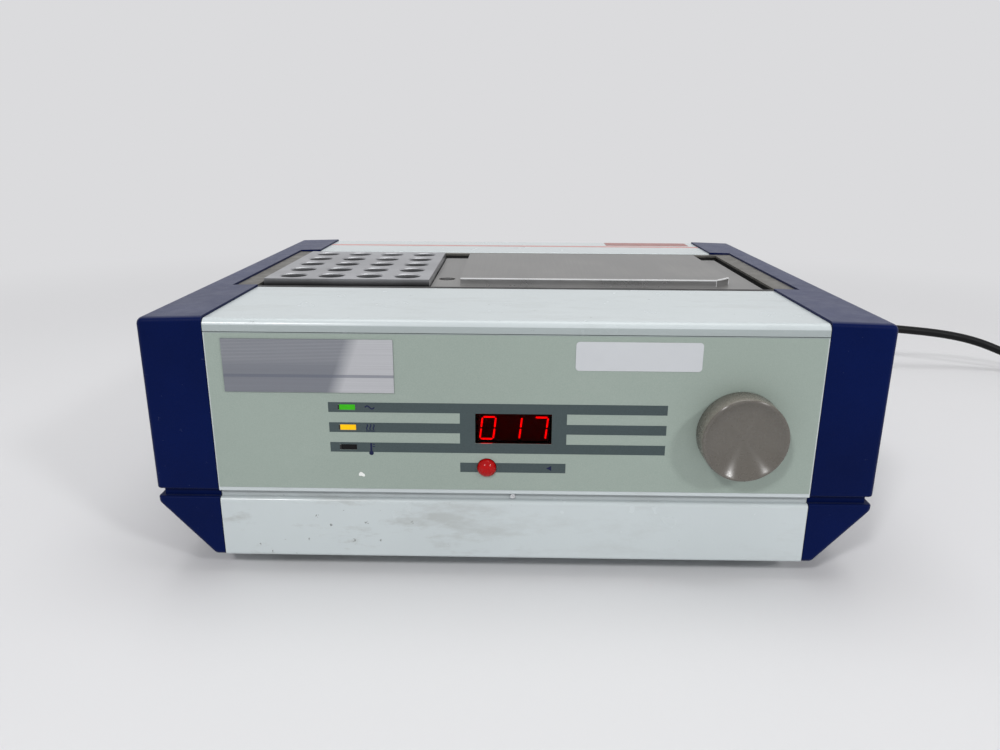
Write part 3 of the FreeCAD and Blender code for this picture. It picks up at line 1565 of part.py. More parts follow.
def strain_relief():
    """A ringed sleeve that tapers along the cord, its flange against the rear wall."""
    wall = PANEL_REAR
    end = wall + S.relief_length
    grip = S.relief_radius
    tip = S.cord_radius + S.relief_tip
    flange = wall + S.relief_flange_thick
    points = [(end, 0), (end, tip)]
    rings = int(S.relief_rings.value)
    step = (S.relief_length - S.relief_flange_thick - S.relief_tip_length) / rings
    for i in reversed(range(rings)):
        start = flange + step * i
        outer = grip - (grip - tip) * (i / rings)
        points += [(start + step, outer - S.relief_groove), (start + step / 2, outer - S.relief_groove),
                   (start + step / 2, outer), (start, outer)]
    points += [(flange, grip + S.relief_flange), (wall, grip + S.relief_flange), (wall, grip),
               (wall - S.relief_seat, grip), (wall - S.relief_seat, 0)]
    turned("strain_relief", "Y", (S.cord_place, 0, S.cord_height), points)


def cord_coil():
    """The put-away length as one ring, and the strap round its left side."""
    x, y = COIL_MIDDLE
    low = S.tie_thick + S.tie_gap
    high = low + S.coil_tall
    inner = S.coil_radius - S.coil_across / 2
    outer = S.coil_radius + S.coil_across / 2
    ease = S.coil_ease
    turned("cord_coil", "Z", (x, y, 0), [
        (low, inner + ease), (low, outer - ease), (low + ease, outer), (high - ease, outer),
        (high, outer - ease), (high, inner + ease), (high - ease, inner), (low + ease, inner),
    ])
    thick = S.tie_thick
    gap = S.tie_gap
    room_x = (x - outer - gap, x - inner + S.seat_gap)
    strap = box("tie_outside", (room_x[0] - thick, room_x[1] + thick), centred(y, S.tie_width),
                (low - thick, high + gap + thick))
    room = box("tie_inside", room_x, centred(y, S.tie_width * 2), (low, high + gap))
    cut("cord_tie", strap, room)


def mains_plug():
    """A flat six-sided three-pin plug that lies on the bench, its pins towards the front."""
    x, y, z = (size(value) for value in TAIL_ROUTE[-1])
    back = y - S.sleeve_length
    face = back - S.plug_length
    shell = body("mains_plug")
    sleeve = sketch(shell, "plug_sleeve", "XZ_Plane", -y)
    circle(sleeve, x, z, S.sleeve_radius)
    pad(shell, sleeve, S.sleeve_length + S.plug_ease)
    section = sketch(shell, "plug_section", "XZ_Plane", -back)
    half = S.plug_width / 2
    waist = S.plug_face / 2
    thick = S.plug_thick / 2
    polygon(section, [
        (x - half, z), (x - waist, z - thick), (x + waist, z - thick), (x + half, z), (x + waist, z + thick),
        (x - waist, z + thick),
    ])
    grip = pad(shell, section, S.plug_length)
    rounded = round_edges(shell, grip, S.plug_round, lambda edge, middle: spans(edge, "y"))
    ends = edges_where(rounded, lambda edge, middle: near(middle.y, face))
    eased = shell.newObject("PartDesign::Chamfer", "plug_face_ease")
    eased.Base = (rounded, ends)
    bind(eased, Size=S.plug_ease)
    doc.recompute()
    pins = []
    for i, (px, pz) in enumerate(((x - S.pin_spread, z), (x + S.pin_spread, z), (x, z + S.pin_offset))):
        pins.append(cylinder(f"pin_{i}", "Y", S.pin_radius, S.pin_length, (px, face - S.pin_length, pz)))
    group("plug_pins", *pins)


strain_relief()
tube("power_cord", CORD_ROUTE, float(S.cord_radius))
cord_coil()
tube("cord_tail", TAIL_ROUTE, float(S.cord_radius))
mains_plug()


# The finished sub-parts, each written to its own file

NODES = [
    "right_end_cap", "left_end_cap", "base_tray", "front_panel", "front_cover", "rear_cover", "rear_panel",
    "right_side_plate", "left_side_plate", "well_frame", "well_liner", "heater_plate", "heater_mat",
    "clamp_plate", "insulation_board", "temperature_probe", "thermal_cutout", "support_pillars",
    "tube_block", "plate_block", "fascia_overlay", "name_plate", "asset_label", "display_window",
    "display_module", "power_led", "heat_led", "limit_led", "display_board", "display_spacers",
    "set_button", "button_switch", "control_knob", "pot_shaft", "temperature_pot", "pot_nut",
    "control_board", "board_stands", "board_components", "transformer_core", "transformer_coil",
    "heat_sink", "triac", "mains_switch", "mains_rocker", "fuse_holder", "fuse_link", "fuse_cap",
    "rubber_feet", "foot_screws", "foot_nuts", "cap_screws", "groove_screw", "strain_relief",
    "power_cord", "cord_coil", "cord_tie", "cord_tail", "mains_plug", "plug_pins",
]

doc.recompute()
failed = [item.Name for item in doc.Objects if "Invalid" in item.State or "Error" in item.State]
if failed:
    raise RuntimeError("not computed: " + ", ".join(failed))
for name in NODES:
    part = doc.getObject(name)
    if part is None or part.Label != name:
        raise RuntimeError(name + " is missing")
    if part.Shape.isNull() or not part.Shape.isValid() or not part.Shape.Solids:
        raise RuntimeError(name + " has no valid solid")

os.makedirs("parts", exist_ok=True)
for name in NODES:
    doc.getObject(name).Shape.exportStep(f"parts/{name}.step")
print(len(NODES), "sub-parts written")
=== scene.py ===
import math

import bmesh
import bpy
from mathutils import Matrix, Vector


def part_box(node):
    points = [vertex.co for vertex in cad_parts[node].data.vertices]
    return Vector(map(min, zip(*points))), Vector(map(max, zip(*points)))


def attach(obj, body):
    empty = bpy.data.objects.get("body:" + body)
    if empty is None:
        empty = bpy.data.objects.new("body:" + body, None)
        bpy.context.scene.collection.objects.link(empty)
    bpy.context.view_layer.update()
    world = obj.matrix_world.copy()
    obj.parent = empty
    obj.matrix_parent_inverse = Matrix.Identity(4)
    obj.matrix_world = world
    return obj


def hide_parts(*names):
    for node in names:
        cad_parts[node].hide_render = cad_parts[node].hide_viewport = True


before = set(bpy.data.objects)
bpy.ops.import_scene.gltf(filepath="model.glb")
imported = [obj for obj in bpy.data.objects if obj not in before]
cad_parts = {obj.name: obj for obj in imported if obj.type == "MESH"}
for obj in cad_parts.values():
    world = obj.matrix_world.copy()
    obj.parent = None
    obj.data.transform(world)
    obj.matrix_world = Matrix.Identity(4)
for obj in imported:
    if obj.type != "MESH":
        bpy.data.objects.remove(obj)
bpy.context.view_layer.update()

# Looks of a dry bath incubator. X runs across the front, -Y is the front, +Z is up.
# Blender's own lengths are metres. Places, shapes and bump depths are written in millimetres.

MM = 0.001


def mm(*values):
    return Vector([value * MM for value in values])


def box_mm(node):
    """A node's lowest and highest corners in millimetres."""
    low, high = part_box(node)
    return [value / MM for value in low], [value / MM for value in high]


# Camera, standing where the photograph was taken

CAMERA_PLACE = (-1.127, -431.446, 186.966)
# Heading, pitch and roll in radians
CAMERA_ANGLES = (-0.0154, 0.2937, 0.0060)
LENS = 27.763
SENSOR = 36


def make_camera():
    heading, pitch, roll = CAMERA_ANGLES
    ahead = Vector((math.sin(heading) * math.cos(pitch),
                    math.cos(heading) * math.cos(pitch),
                    -math.sin(pitch)))
    level = Vector((math.cos(heading), -math.sin(heading), 0))
    upright = level.cross(ahead)
    right = level * math.cos(roll) + upright * math.sin(roll)
    up = upright * math.cos(roll) - level * math.sin(roll)
    camera = bpy.data.objects.new("camera", bpy.data.cameras.new("camera"))
    bpy.context.collection.objects.link(camera)
    camera.data.sensor_width = SENSOR
    camera.data.lens = LENS
    camera.data.clip_start = 10 * MM
    turn = Matrix((right, up, -ahead)).transposed().to_4x4()
    camera.matrix_world = Matrix.Translation(mm(*CAMERA_PLACE)) @ turn
    bpy.context.scene.camera = camera


make_camera()


# Node materials

# Nearly all values of a noise lie between these two
NOISE_LOW, NOISE_HIGH = 0.3, 0.7


def tone(*display):
    """A colour written as its 0 to 255 display values, as linear light."""
    shares = [value / 255 for value in display]
    return tuple(v / 12.92 if v <= 0.04045 else ((v + 0.055) / 1.055) ** 2.4 for v in shares)


def shaded(colour, factor):
    return tuple(value * factor for value in colour)


class Finish:
    """A procedural material. Its helpers take numbers or sockets and give back a socket."""

    def __init__(self, name, rough=0.5, metal=0.0):
        self.material = bpy.data.materials.new(name)
        self.material.use_nodes = True
        self.tree = self.material.node_tree
        self.shader = self.tree.nodes["Principled BSDF"]
        self.place = self.node("ShaderNodeTexCoord").outputs["Object"]
        self.shader.inputs["Roughness"].default_value = rough
        self.shader.inputs["Metallic"].default_value = metal

    def node(self, kind, inputs=None, **settings):
        made = self.tree.nodes.new(kind)
        for key, value in settings.items():
            setattr(made, key, value)
        for key, value in (inputs or {}).items():
            self.put(made.inputs[key], value)
        return made

    def put(self, socket, value):
        if isinstance(value, bpy.types.NodeSocket):
            self.tree.links.new(value, socket)
        elif hasattr(value, "__len__") and socket.type == "RGBA" and len(value) == 3:
            socket.default_value = (*value, 1)
        else:
            socket.default_value = value

    def set(self, **sockets):
        """Shader inputs by name, with _ for a space."""
        for key, value in sockets.items():
            self.put(self.shader.inputs[key.replace("_", " ")], value)

    def stretched(self, scale, turn=(0, 0, 0)):
        """The surface's place, scaled and turned, for a pattern that has a direction."""
        inputs = {"Vector": self.place, "Scale": scale, "Rotation": turn}
        return self.node("ShaderNodeMapping", inputs).outputs[0]

    def noise(self, scale, detail=2.0, grain=0.5, where=None):
        inputs = {"Vector": where or self.place, "Scale": scale, "Detail": detail, "Roughness": grain}
        return self.node("ShaderNodeTexNoise", inputs).outputs["Fac"]

    def span(self, value, low, high, start=0.0, end=1.0):
        """A value's run from low to high, made a run from start to end."""
        inputs = {"Value": value, "From Min": low, "From Max": high, "To Min": start, "To Max": end}
        return self.node("ShaderNodeMapRange", inputs).outputs["Result"]

    def uneven(self, scale, detail=2.0, low=0.0, high=1.0, grain=0.5):
        """Noise that wanders between low and high."""
        return self.span(self.noise(scale, detail, grain), NOISE_LOW, NOISE_HIGH, low, high)

    def mottled(self, colour, dark, light, scale, detail=2.0, grain=0.5):
        """A colour that wanders between two shares of itself."""
        wander = self.uneven(scale, detail, grain=grain)
        return self.blend(wander, shaded(colour, dark), shaded(colour, light))

    def maths(self, operation, *values):
        made = self.node("ShaderNodeMath", operation=operation)
        for socket, value in zip(made.inputs, values):
            self.put(socket, value)
        return made.outputs[0]

    def times(self, a, b):
        return self.maths("MULTIPLY", a, b)

    def most(self, a, b):
        return self.maths("MAXIMUM", a, b)

    def above(self, value, limit):
        return self.maths("GREATER_THAN", value, limit)

    def below(self, value, limit):
        return self.maths("LESS_THAN", value, limit)

    def blend(self, factor, a, b):
        # A Mix node has its colours at 6, 7 and 2, and its vectors at 4, 5 and 1
        made = self.node("ShaderNodeMix", {0: factor, 6: a, 7: b}, data_type="RGBA")
        return made.outputs[2]

    def bump(self, height, depth, under=None):
        """Relief of a depth in mm, over the relief under it."""
        inputs = {"Height": height, "Distance": depth * MM, "Strength": 1.0}
        if under is not None:
            inputs["Normal"] = under
        return self.node("ShaderNodeBump", inputs).outputs["Normal"]

    def parts_of(self, vector):
        return self.node("ShaderNodeSeparateXYZ", {"Vector": vector}).outputs

    def axis(self, letter):
        """The place along an axis of the part, in metres."""
        return self.parts_of(self.place)[letter]

    def facing(self, letter, low, high):
        """0 to 1 as the surface turns from low to high along an axis of the part."""
        normal = self.node("ShaderNodeNewGeometry").outputs["Normal"]
        return self.span(self.parts_of(normal)[letter], low, high)

    def chips(self, scale, radius, share, where=None):
        """Small spots, one in each of a share of the cells of a Voronoi grid."""
        where = where or self.place
        warp = self.node("ShaderNodeTexNoise", {"Vector": where, "Scale": scale * 5, "Detail": 3.0})
        moved = self.node("ShaderNodeMix", {0: 0.004, 4: where, 5: warp.outputs["Color"]}, data_type="VECTOR")
        cells = self.node("ShaderNodeTexVoronoi", {"Vector": moved.outputs[1], "Scale": scale})
        spot = self.span(cells.outputs["Distance"], radius, radius * 0.6)
        chance = self.node("ShaderNodeSeparateColor", {"Color": cells.outputs["Color"]}).outputs[0]
        return self.times(spot, self.below(chance, share))

    def near(self, point, radius, ragged=0.5):
        """1 inside a ragged patch round a place, both in mm."""
        away = self.node("ShaderNodeVectorMath", {0: self.place, 1: tuple(mm(*point))}, operation="DISTANCE")
        edge = self.times(self.noise(900, 3), radius * ragged * 2 * MM)
        reach = self.maths("ADD", edge, radius * (1 - ragged) * MM)
        return self.below(away.outputs["Value"], reach)


# Painted shade in the groove across the front: its back lies behind GROOVE_FRONT, and its ends are soft over
# GROOVE_FADE
GROOVE_FRONT = -124.4
GROOVE_LOW, GROOVE_HIGH = 36.8, 40.4
GROOVE_FADE = 0.6
# The covers' folded lips are painted a darker grey between these heights
LIP_LOW, LIP_HIGH = 111.0, 114.6
# Dust and a painted sheen lie on the end caps' tops, above this height
DUST_AND_SHEEN_LOW = 100.0
# The chip in the film is two patches that meet: place and radius of each
FILM_CHIP = (((-65.7, -125.65, 49.1), 0.95), ((-64.6, -125.65, 48.6), 0.7))


def case_paint():
    """Pale powder coat: slight orange peel, grey dust, chips and scuffs low on the left of the base, painted
    shade in the front groove and darker folded lips.
    """
    f = Finish("case_paint")
    height = f.axis("Z")
    cloud = f.mottled(tone(196, 204, 206), 0.95, 1.04, scale=9, detail=4)
    left_low = f.times(f.span(f.axis("X"), 20 * MM, -70 * MM), f.span(height, 40 * MM, 30 * MM))
    few = f.chips(scale=95, radius=0.055, share=0.2)
    in_clouds = f.times(f.chips(scale=210, radius=0.085, share=0.22), f.span(f.noise(14, 3), 0.5, 0.6))
    crowd = f.most(f.times(f.chips(scale=190, radius=0.13, share=0.34), left_low), in_clouds)
    scratches = f.chips(scale=30, radius=0.035, share=0.6, where=f.stretched((0.35, 4.0, 4.0), (0, 0, 0.5)))
    spots = f.most(f.most(few, crowd), scratches)
    chipped = f.blend(f.times(spots, 0.8), cloud, tone(92, 92, 90))
    scuffs = f.span(f.noise(46, 6, 0.7, f.stretched((0.5, 1.6, 1.6), (0, 0.5, 0))), 0.52, 0.66)
    scuffing = f.times(scuffs, f.maths("ADD", f.times(left_low, 0.45), 0.14))
    scuffed = f.blend(scuffing, chipped, tone(150, 150, 146))
    # Painted shade in the groove between the fascia and the base, darkest under the fascia
    behind = f.above(f.axis("Y"), GROOVE_FRONT * MM)
    in_groove = f.times(f.span(height, GROOVE_HIGH * MM, (GROOVE_HIGH - GROOVE_FADE) * MM),
                        f.span(height, (GROOVE_LOW - GROOVE_FADE) * MM, GROOVE_LOW * MM))
    groove_shade = f.span(height, GROOVE_LOW * MM, GROOVE_HIGH * MM, 0.12, 0.72)
    groove_shaded = f.blend(f.times(f.times(in_groove, behind), groove_shade), scuffed, tone(96, 102, 104))
    # The folded lips are painted a darker grey
    on_lip = f.times(f.above(height, LIP_LOW * MM), f.below(height, LIP_HIGH * MM))
    f.set(Base_Color=f.blend(f.times(on_lip, 0.75), groove_shaded, tone(150, 160, 160)))
    f.set(Roughness=f.uneven(60, 3, 0.2, 0.28))
    f.set(Normal=f.bump(spots, -0.02, f.bump(f.noise(650, 2), 0.04)))
    return f.material


def cap_plastic():
    """Dark navy moulding with a fine spark-eroded grain, dust and a painted sheen on its tops, and a few bits
    of lint.
    """
    f = Finish("cap_plastic")
    cloud = f.mottled(tone(1, 17, 66), 0.86, 1.12, scale=22, detail=3)
    specks = f.times(f.chips(scale=330, radius=0.11, share=0.1), 0.25)
    drawn_out = f.stretched((4, 0.5, 3), (0, 0, 0.7))
    lint = f.times(f.chips(scale=60, radius=0.03, share=0.4, where=drawn_out), 0.25)
    # The level tops are painted lighter: dust together with a painted sheen
    level_top = f.times(f.facing("Z", 0.7, 0.98), f.above(f.axis("Z"), DUST_AND_SHEEN_LOW * MM))
    dust_and_sheen = f.blend(f.times(level_top, f.uneven(60, 4, 0.11, 0.17)), cloud, tone(168, 172, 186))
    f.set(Base_Color=f.blend(f.most(specks, lint), dust_and_sheen, tone(110, 118, 150)))
    f.set(Roughness=f.uneven(180, 2, 0.36, 0.44))
    f.set(Specular_IOR_Level=0.05, Sheen_Weight=0.09, Sheen_Roughness=0.4, Sheen_Tint=(0.86, 0.9, 1.0, 1.0))
    f.set(Normal=f.bump(f.noise(1500, 2, 0.6), 0.07))
    return f.material


def overlay_film():
    """Grey-green printed film with a fine grain, faint rubbing and one chip."""
    f = Finish("overlay_film")
    cloud = f.mottled(tone(145, 158, 150), 0.96, 1.05, scale=7, detail=3)
    speckled = f.blend(f.uneven(2600, 2, 0.0, 0.16, grain=0.8), cloud, tone(196, 206, 199))
    dirt = f.times(f.chips(scale=70, radius=0.035, share=0.2), 0.6)
    spotted = f.blend(dirt, speckled, tone(90, 96, 94))
    rub = f.times(f.span(f.noise(26, 5, 0.7, f.stretched((1, 1, 1.4))), 0.6, 0.75), 0.10)
    rubbed = f.blend(rub, spotted, tone(186, 192, 186))
    chip = f.most(*[f.near(place, radius) for place, radius in FILM_CHIP])
    f.set(Base_Color=f.blend(chip, rubbed, tone(232, 234, 232)))
    f.set(Roughness=f.uneven(300, 2, 0.42, 0.52), Specular_IOR_Level=0.35)
    f.set(Normal=f.bump(f.noise(1900, 2), 0.04))
    return f.material


def print_ink(name, colour):
    """Matt ink that takes the film's grain."""
    f = Finish(name)
    f.set(Base_Color=f.mottled(colour, 0.9, 1.12, scale=2400, detail=2, grain=0.8), Specular_IOR_Level=0.25)
    f.set(Normal=f.bump(f.noise(1900, 2), 0.03))
    return f.material


def brushed_plate():
    """Bare metal plate: fine rules over its upper half, one darker band, a slanting sheen at the right."""
    f = Finish("brushed_plate", metal=0.6)
    low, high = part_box("name_plate")
    across = f.span(f.axis("X"), low[0], high[0])
    up = f.span(f.axis("Z"), low[2], high[2])
    lines = f.noise(1, 3, 0.7, f.stretched((14, 900, 2600)))
    slanted = f.maths("SUBTRACT", f.maths("ADD", across, f.times(up, -0.12)), 0.62)
    sheen = f.blend(f.span(slanted, -0.02, 0.07), tone(128, 131, 139), tone(194, 195, 199))
    ragged_end = f.maths("ADD", across, f.times(f.noise(120, 3), 0.3))
    rule_waves = f.above(f.maths("SINE", f.times(up, 239.0)), 0.2)
    rules = f.times(rule_waves, f.times(f.span(up, 0.5, 0.62), f.span(ragged_end, 1.15, 0.9)))
    ruled = f.blend(f.times(rules, 0.3), sheen, tone(196, 198, 200))
    band = f.times(f.above(up, 0.285), f.below(up, 0.34))
    banded = f.blend(f.times(band, 0.55), ruled, tone(96, 102, 118))
    f.set(Base_Color=f.blend(f.span(lines, 0.2, 0.8, 0.0, 0.22), banded, tone(104, 106, 112)))
    f.set(Roughness=f.span(lines, NOISE_LOW, NOISE_HIGH, 0.34, 0.5))
    f.set(Normal=f.bump(lines, 0.02))
    return f.material


def sticker_film():
    """White sticker that isn't quite flat."""
    f = Finish("sticker_film", rough=0.36)
    f.set(Base_Color=f.mottled(tone(199, 202, 206), 0.97, 1.0, scale=60, detail=3))
    f.set(Normal=f.bump(f.noise(45, 3), 0.2))
    return f.material


def machined(name, colour, rough_low, rough_high, grain=(30, 1400, 1400), front=None):
    """Milled aluminium: fine tool lines, smudges and pits.

    front gives its node's front face painted shading, a tone of its own: the node, the tone's share low on
    the face and at its top, and the tone.
    """
    f = Finish(name, metal=0.8)
    lines = f.noise(1, 3, 0.6, f.stretched(grain))
    smudge = f.noise(24, 5, 0.65)
    toned = f.blend(f.span(smudge, 0.35, 0.65), shaded(colour, 0.82), shaded(colour, 1.1))
    lined = f.blend(f.span(lines, 0.25, 0.75, 0.0, 0.3), toned, shaded(colour, 0.62))
    pits = f.most(f.chips(scale=140, radius=0.05, share=0.2), f.chips(scale=420, radius=0.10, share=0.06))
    surface = f.blend(f.times(pits, 0.6), lined, shaded(colour, 0.3))
    # Painted shading on the front face, fading towards its top
    if front:
        node, low_share, high_share, front_painted_shading = front
        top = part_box(node)[1][2]
        fade_start, fade_end = top - 3.2 * MM, top - 0.5 * MM
        share = f.span(f.axis("Z"), fade_start, fade_end, low_share, high_share)
        surface = f.blend(f.times(f.facing("Y", -0.5, -0.9), share), surface, front_painted_shading)
    f.set(Base_Color=surface)
    # Bores and sides are smoother than the milled tops
    upward = f.span(f.facing("Z", 0.2, 0.8), 0, 1, 0.72, 1.0)
    f.set(Roughness=f.times(upward, f.span(smudge, NOISE_LOW, NOISE_HIGH, rough_low, rough_high)))
    f.set(Normal=f.bump(pits, -0.05, f.bump(lines, 0.02)))
    return f.material


def plain_sheet(name, colour, rough=0.4, metal=0.85):
    """Mill-finish sheet or plated steel."""
    f = Finish(name, metal=metal)
    grain = f.noise(1, 3, 0.6, f.stretched((60, 60, 1500)))
    toned = f.blend(f.span(grain, NOISE_LOW, NOISE_HIGH), shaded(colour, 0.86), shaded(colour, 1.08))
    f.set(Base_Color=toned, Roughness=f.uneven(90, 3, rough - 0.06, rough + 0.08))
    f.set(Normal=f.bump(grain, 0.01))
    return f.material


def edging_sheet():
    """The well's thin frame: dull and mottled at the sides and rear, with painted shade on its front bar."""
    f = Finish("edging_sheet")
    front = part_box("well_frame")[0][1]
    mottle = f.blend(f.span(f.noise(120, 5, 0.7), 0.35, 0.65), tone(98, 96, 92), tone(124, 122, 117))
    # Painted shade: the front bar is near black
    front_bar_shade = f.span(f.axis("Y"), front + 8 * MM, front + 4 * MM)
    f.set(Base_Color=f.blend(front_bar_shade, mottle, tone(12, 12, 13)), Specular_IOR_Level=0.3)
    f.set(Metallic=f.span(front_bar_shade, 0, 1, 0.6, 0.0), Roughness=f.uneven(90, 3, 0.42, 0.58))
    f.set(Normal=f.bump(f.noise(700, 2), 0.02))
    return f.material


def moulded(name, colour, rough=0.45, relief=0.03, scale=900):
    """Plain moulded plastic or rubber with a little dust."""
    f = Finish(name)
    toned = f.mottled(colour, 0.9, 1.12, scale=45, detail=3)
    dust = f.times(f.chips(scale=260, radius=0.08, share=0.12), 0.3)
    f.set(Base_Color=f.blend(dust, toned, shaded(colour, 2.2)))
    f.set(Roughness=f.uneven(160, 2, rough - 0.05, rough + 0.06))
    f.set(Normal=f.bump(f.noise(scale, 2), relief))
    return f.material


def knob_plastic():
    """Glossy taupe moulding, lightly turned on its face, with highlights that run out from its middle; its
    skirt carries painted light.
    """
    f = Finish("knob_plastic")
    low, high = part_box("control_knob")
    middle = ((low + high) / 2).to_tuple()
    away = f.node("ShaderNodeVectorMath", {0: f.place, 1: middle}, operation="SUBTRACT").outputs["Vector"]
    x, z = (f.parts_of(away)[letter] for letter in "XZ")
    radius = f.maths("SQRT", f.maths("ADD", f.times(x, x), f.times(z, z)))
    rings = f.noise(1, 2, 0.6, f.node("ShaderNodeCombineXYZ", {"X": f.times(radius, 4200)}).outputs[0])
    toned = f.mottled(tone(84, 79, 71), 0.93, 1.06, scale=40, detail=3)
    # Painted light: the skirt, which faces away from the front, is painted lighter
    f.set(Base_Color=f.blend(f.facing("Y", -0.6, -0.2), toned, tone(122, 116, 107)))
    f.set(Roughness=f.uneven(400, 3, 0.25, 0.31))
    f.set(Specular_IOR_Level=1.0, Anisotropic=0.9, Anisotropic_Rotation=0.25)
    f.set(Tangent=f.node("ShaderNodeTangent", direction_type="RADIAL", axis="Y").outputs[0])
    f.set(Normal=f.bump(f.times(rings, f.facing("Y", -0.4, -0.7)), 0.006))
    return f.material


def button_plastic():
    """Glossy red cap, worn a little uneven."""
    f = Finish("button_plastic")
    f.set(Base_Color=f.mottled(tone(176, 2, 4), 0.85, 1.0, scale=300, detail=3))
    f.set(Roughness=f.uneven(500, 2, 0.12, 0.2))
    f.set(Specular_IOR_Level=0.16, Coat_Weight=0.12, Coat_Roughness=0.06)
    f.set(Normal=f.bump(f.noise(420, 2), 0.12))
    return f.material


def lamp(name, colour, glow):
    """A diffused lamp; glow is the strength of its light, 0 when it is out."""
    f = Finish(name, rough=0.3)
    f.set(Base_Color=f.mottled(colour, 0.8, 1.0, scale=900), Specular_IOR_Level=0.15)
    if glow:
        f.set(Emission_Color=f.mottled(colour, 0.85, 1.0, scale=420), Emission_Strength=glow)
    f.set(Normal=f.bump(f.noise(800, 2), 0.02))
    return f.material


def red_filter():
    """Clear red window over the digits."""
    f = Finish("red_filter")
    f.set(Base_Color=f.mottled(tone(206, 24, 26), 0.94, 1.0, scale=120))
    f.set(Roughness=f.uneven(200, 3, 0.02, 0.06), Transmission_Weight=1.0, IOR=1.08)
    return f.material


def cord_rubber():
    """Dull black sheath of the mains lead."""
    f = Finish("cord_rubber")
    f.set(Base_Color=f.mottled(tone(9, 9, 11), 0.85, 1.2, scale=70, detail=3))
    f.set(Roughness=f.uneven(140, 3, 0.42, 0.56), Specular_IOR_Level=0.2)
    f.set(Normal=f.bump(f.noise(1400, 2), 0.02))
    return f.material


FINISHES = {
    "paint": case_paint(),
    "navy": cap_plastic(),
    "film": overlay_film(),
    "slate": print_ink("slate_ink", tone(66, 78, 80)),
    "marks": print_ink("navy_ink", tone(18, 24, 62)),
    "plate": brushed_plate(),
    "sticker": sticker_film(),
    # The tube block's front face carries painted shade, darkest low down
    "block": machined("block_aluminium", tone(172, 173, 176), 0.36, 0.5,
                      front=("tube_block", 0.9, 0.05, tone(40, 41, 43))),
    # The plate block's front face carries painted light
    "plate_block": machined("plate_aluminium", tone(145, 144, 142), 0.34, 0.48, grain=(1400, 30, 1400),
                            front=("plate_block", 0.6, 0.6, tone(205, 205, 206))),
    "heater": machined("heater_aluminium", tone(120, 120, 122), 0.45, 0.6),
    "edging": edging_sheet(),
    "steel": plain_sheet("inner_steel", tone(150, 152, 154)),
    "plated": plain_sheet("plated_steel", tone(205, 206, 208), rough=0.26),
    "brass": plain_sheet("turned_brass", tone(196, 160, 96), rough=0.28),
    "liner": plain_sheet("dark_liner", tone(30, 30, 30), rough=0.6, metal=0.2),
    "iron": plain_sheet("core_iron", tone(70, 72, 76), rough=0.5, metal=0.6),
    # Painted highlight for the pad's edges
    "painted_glint": plain_sheet("painted_edge_highlight", tone(246, 247, 248), rough=0.35, metal=0.0),
    "knob": knob_plastic(),
    "button": button_plastic(),
    "filter": red_filter(),
    "cord": cord_rubber(),
    "black": moulded("black_plastic", tone(28, 28, 30), rough=0.42),
    "dark": moulded("display_mask", tone(10, 8, 9), rough=0.5, relief=0.02),
    "glossy_black": moulded("glossy_black", tone(20, 20, 22), rough=0.2, relief=0.01),
    "rubber": moulded("foot_rubber", tone(34, 34, 34), rough=0.62, relief=0.05),
    "board": moulded("board_mask", tone(24, 84, 48), rough=0.35, relief=0.04, scale=260),
    "tape": moulded("winding_tape", tone(196, 170, 70), rough=0.4, relief=0.12, scale=120),
    "silicone": moulded("heater_silicone", tone(158, 84, 52), rough=0.6, relief=0.08, scale=500),
    "fibre": moulded("fibre_board", tone(214, 208, 188), rough=0.8, relief=0.1, scale=300),
    "stripe": moulded("stripe_print", tone(196, 142, 138), rough=0.4, relief=0.02),
    "patch": moulded("patch_film", tone(158, 108, 104), rough=0.4),
    "green": lamp("green_lamp", tone(48, 150, 18), glow=0.62),
    "yellow": lamp("yellow_lamp", tone(226, 172, 6), glow=0.62),
    "dark_lamp": lamp("dark_lamp", tone(14, 14, 15), glow=0),
    "digits": lamp("digit_glow", tone(255, 24, 34), glow=2.0),
}

NODES_BY_FINISH = {
    "paint": ("base_tray", "front_panel", "front_cover", "rear_cover", "rear_panel"),
    "navy": ("right_end_cap", "left_end_cap"),
    "film": ("fascia_overlay",),
    "plate": ("name_plate",),
    "sticker": ("asset_label",),
    "block": ("tube_block",),
    "plate_block": ("plate_block",),
    "heater": ("heater_plate", "heat_sink"),
    "edging": ("well_frame",),
    "steel": ("right_side_plate", "left_side_plate", "clamp_plate", "support_pillars"),
    "plated": ("temperature_probe", "pot_shaft", "pot_nut", "fuse_link", "foot_screws", "foot_nuts",
               "cap_screws", "groove_screw", "plug_pins"),
    "brass": ("display_spacers", "board_stands"),
    "liner": ("well_liner",),
    "iron": ("transformer_core",),
    "knob": ("control_knob",),
    "button": ("set_button",),
    "filter": ("display_window",),
    "cord": ("strain_relief", "power_cord", "cord_coil", "cord_tail"),
    "black": ("thermal_cutout", "button_switch", "temperature_pot", "board_components", "triac",
              "mains_rocker", "fuse_holder", "cord_tie", "mains_plug"),
    "dark": ("display_module",),
    "glossy_black": ("mains_switch", "fuse_cap"),
    "rubber": ("rubber_feet",),
    "board": ("display_board", "control_board"),
    "tape": ("transformer_coil",),
    "silicone": ("heater_mat",),
    "fibre": ("insulation_board",),
    "green": ("power_led",),
    "yellow": ("heat_led",),
    "dark_lamp": ("limit_led",),
}


def dress_nodes():
    for finish, nodes in NODES_BY_FINISH.items():
        for node in nodes:
            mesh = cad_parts[node].data
            mesh.materials.clear()
            mesh.materials.append(FINISHES[finish])


# Mains cord: out of the rear, round to the right, down to the bench and into a put-away coil

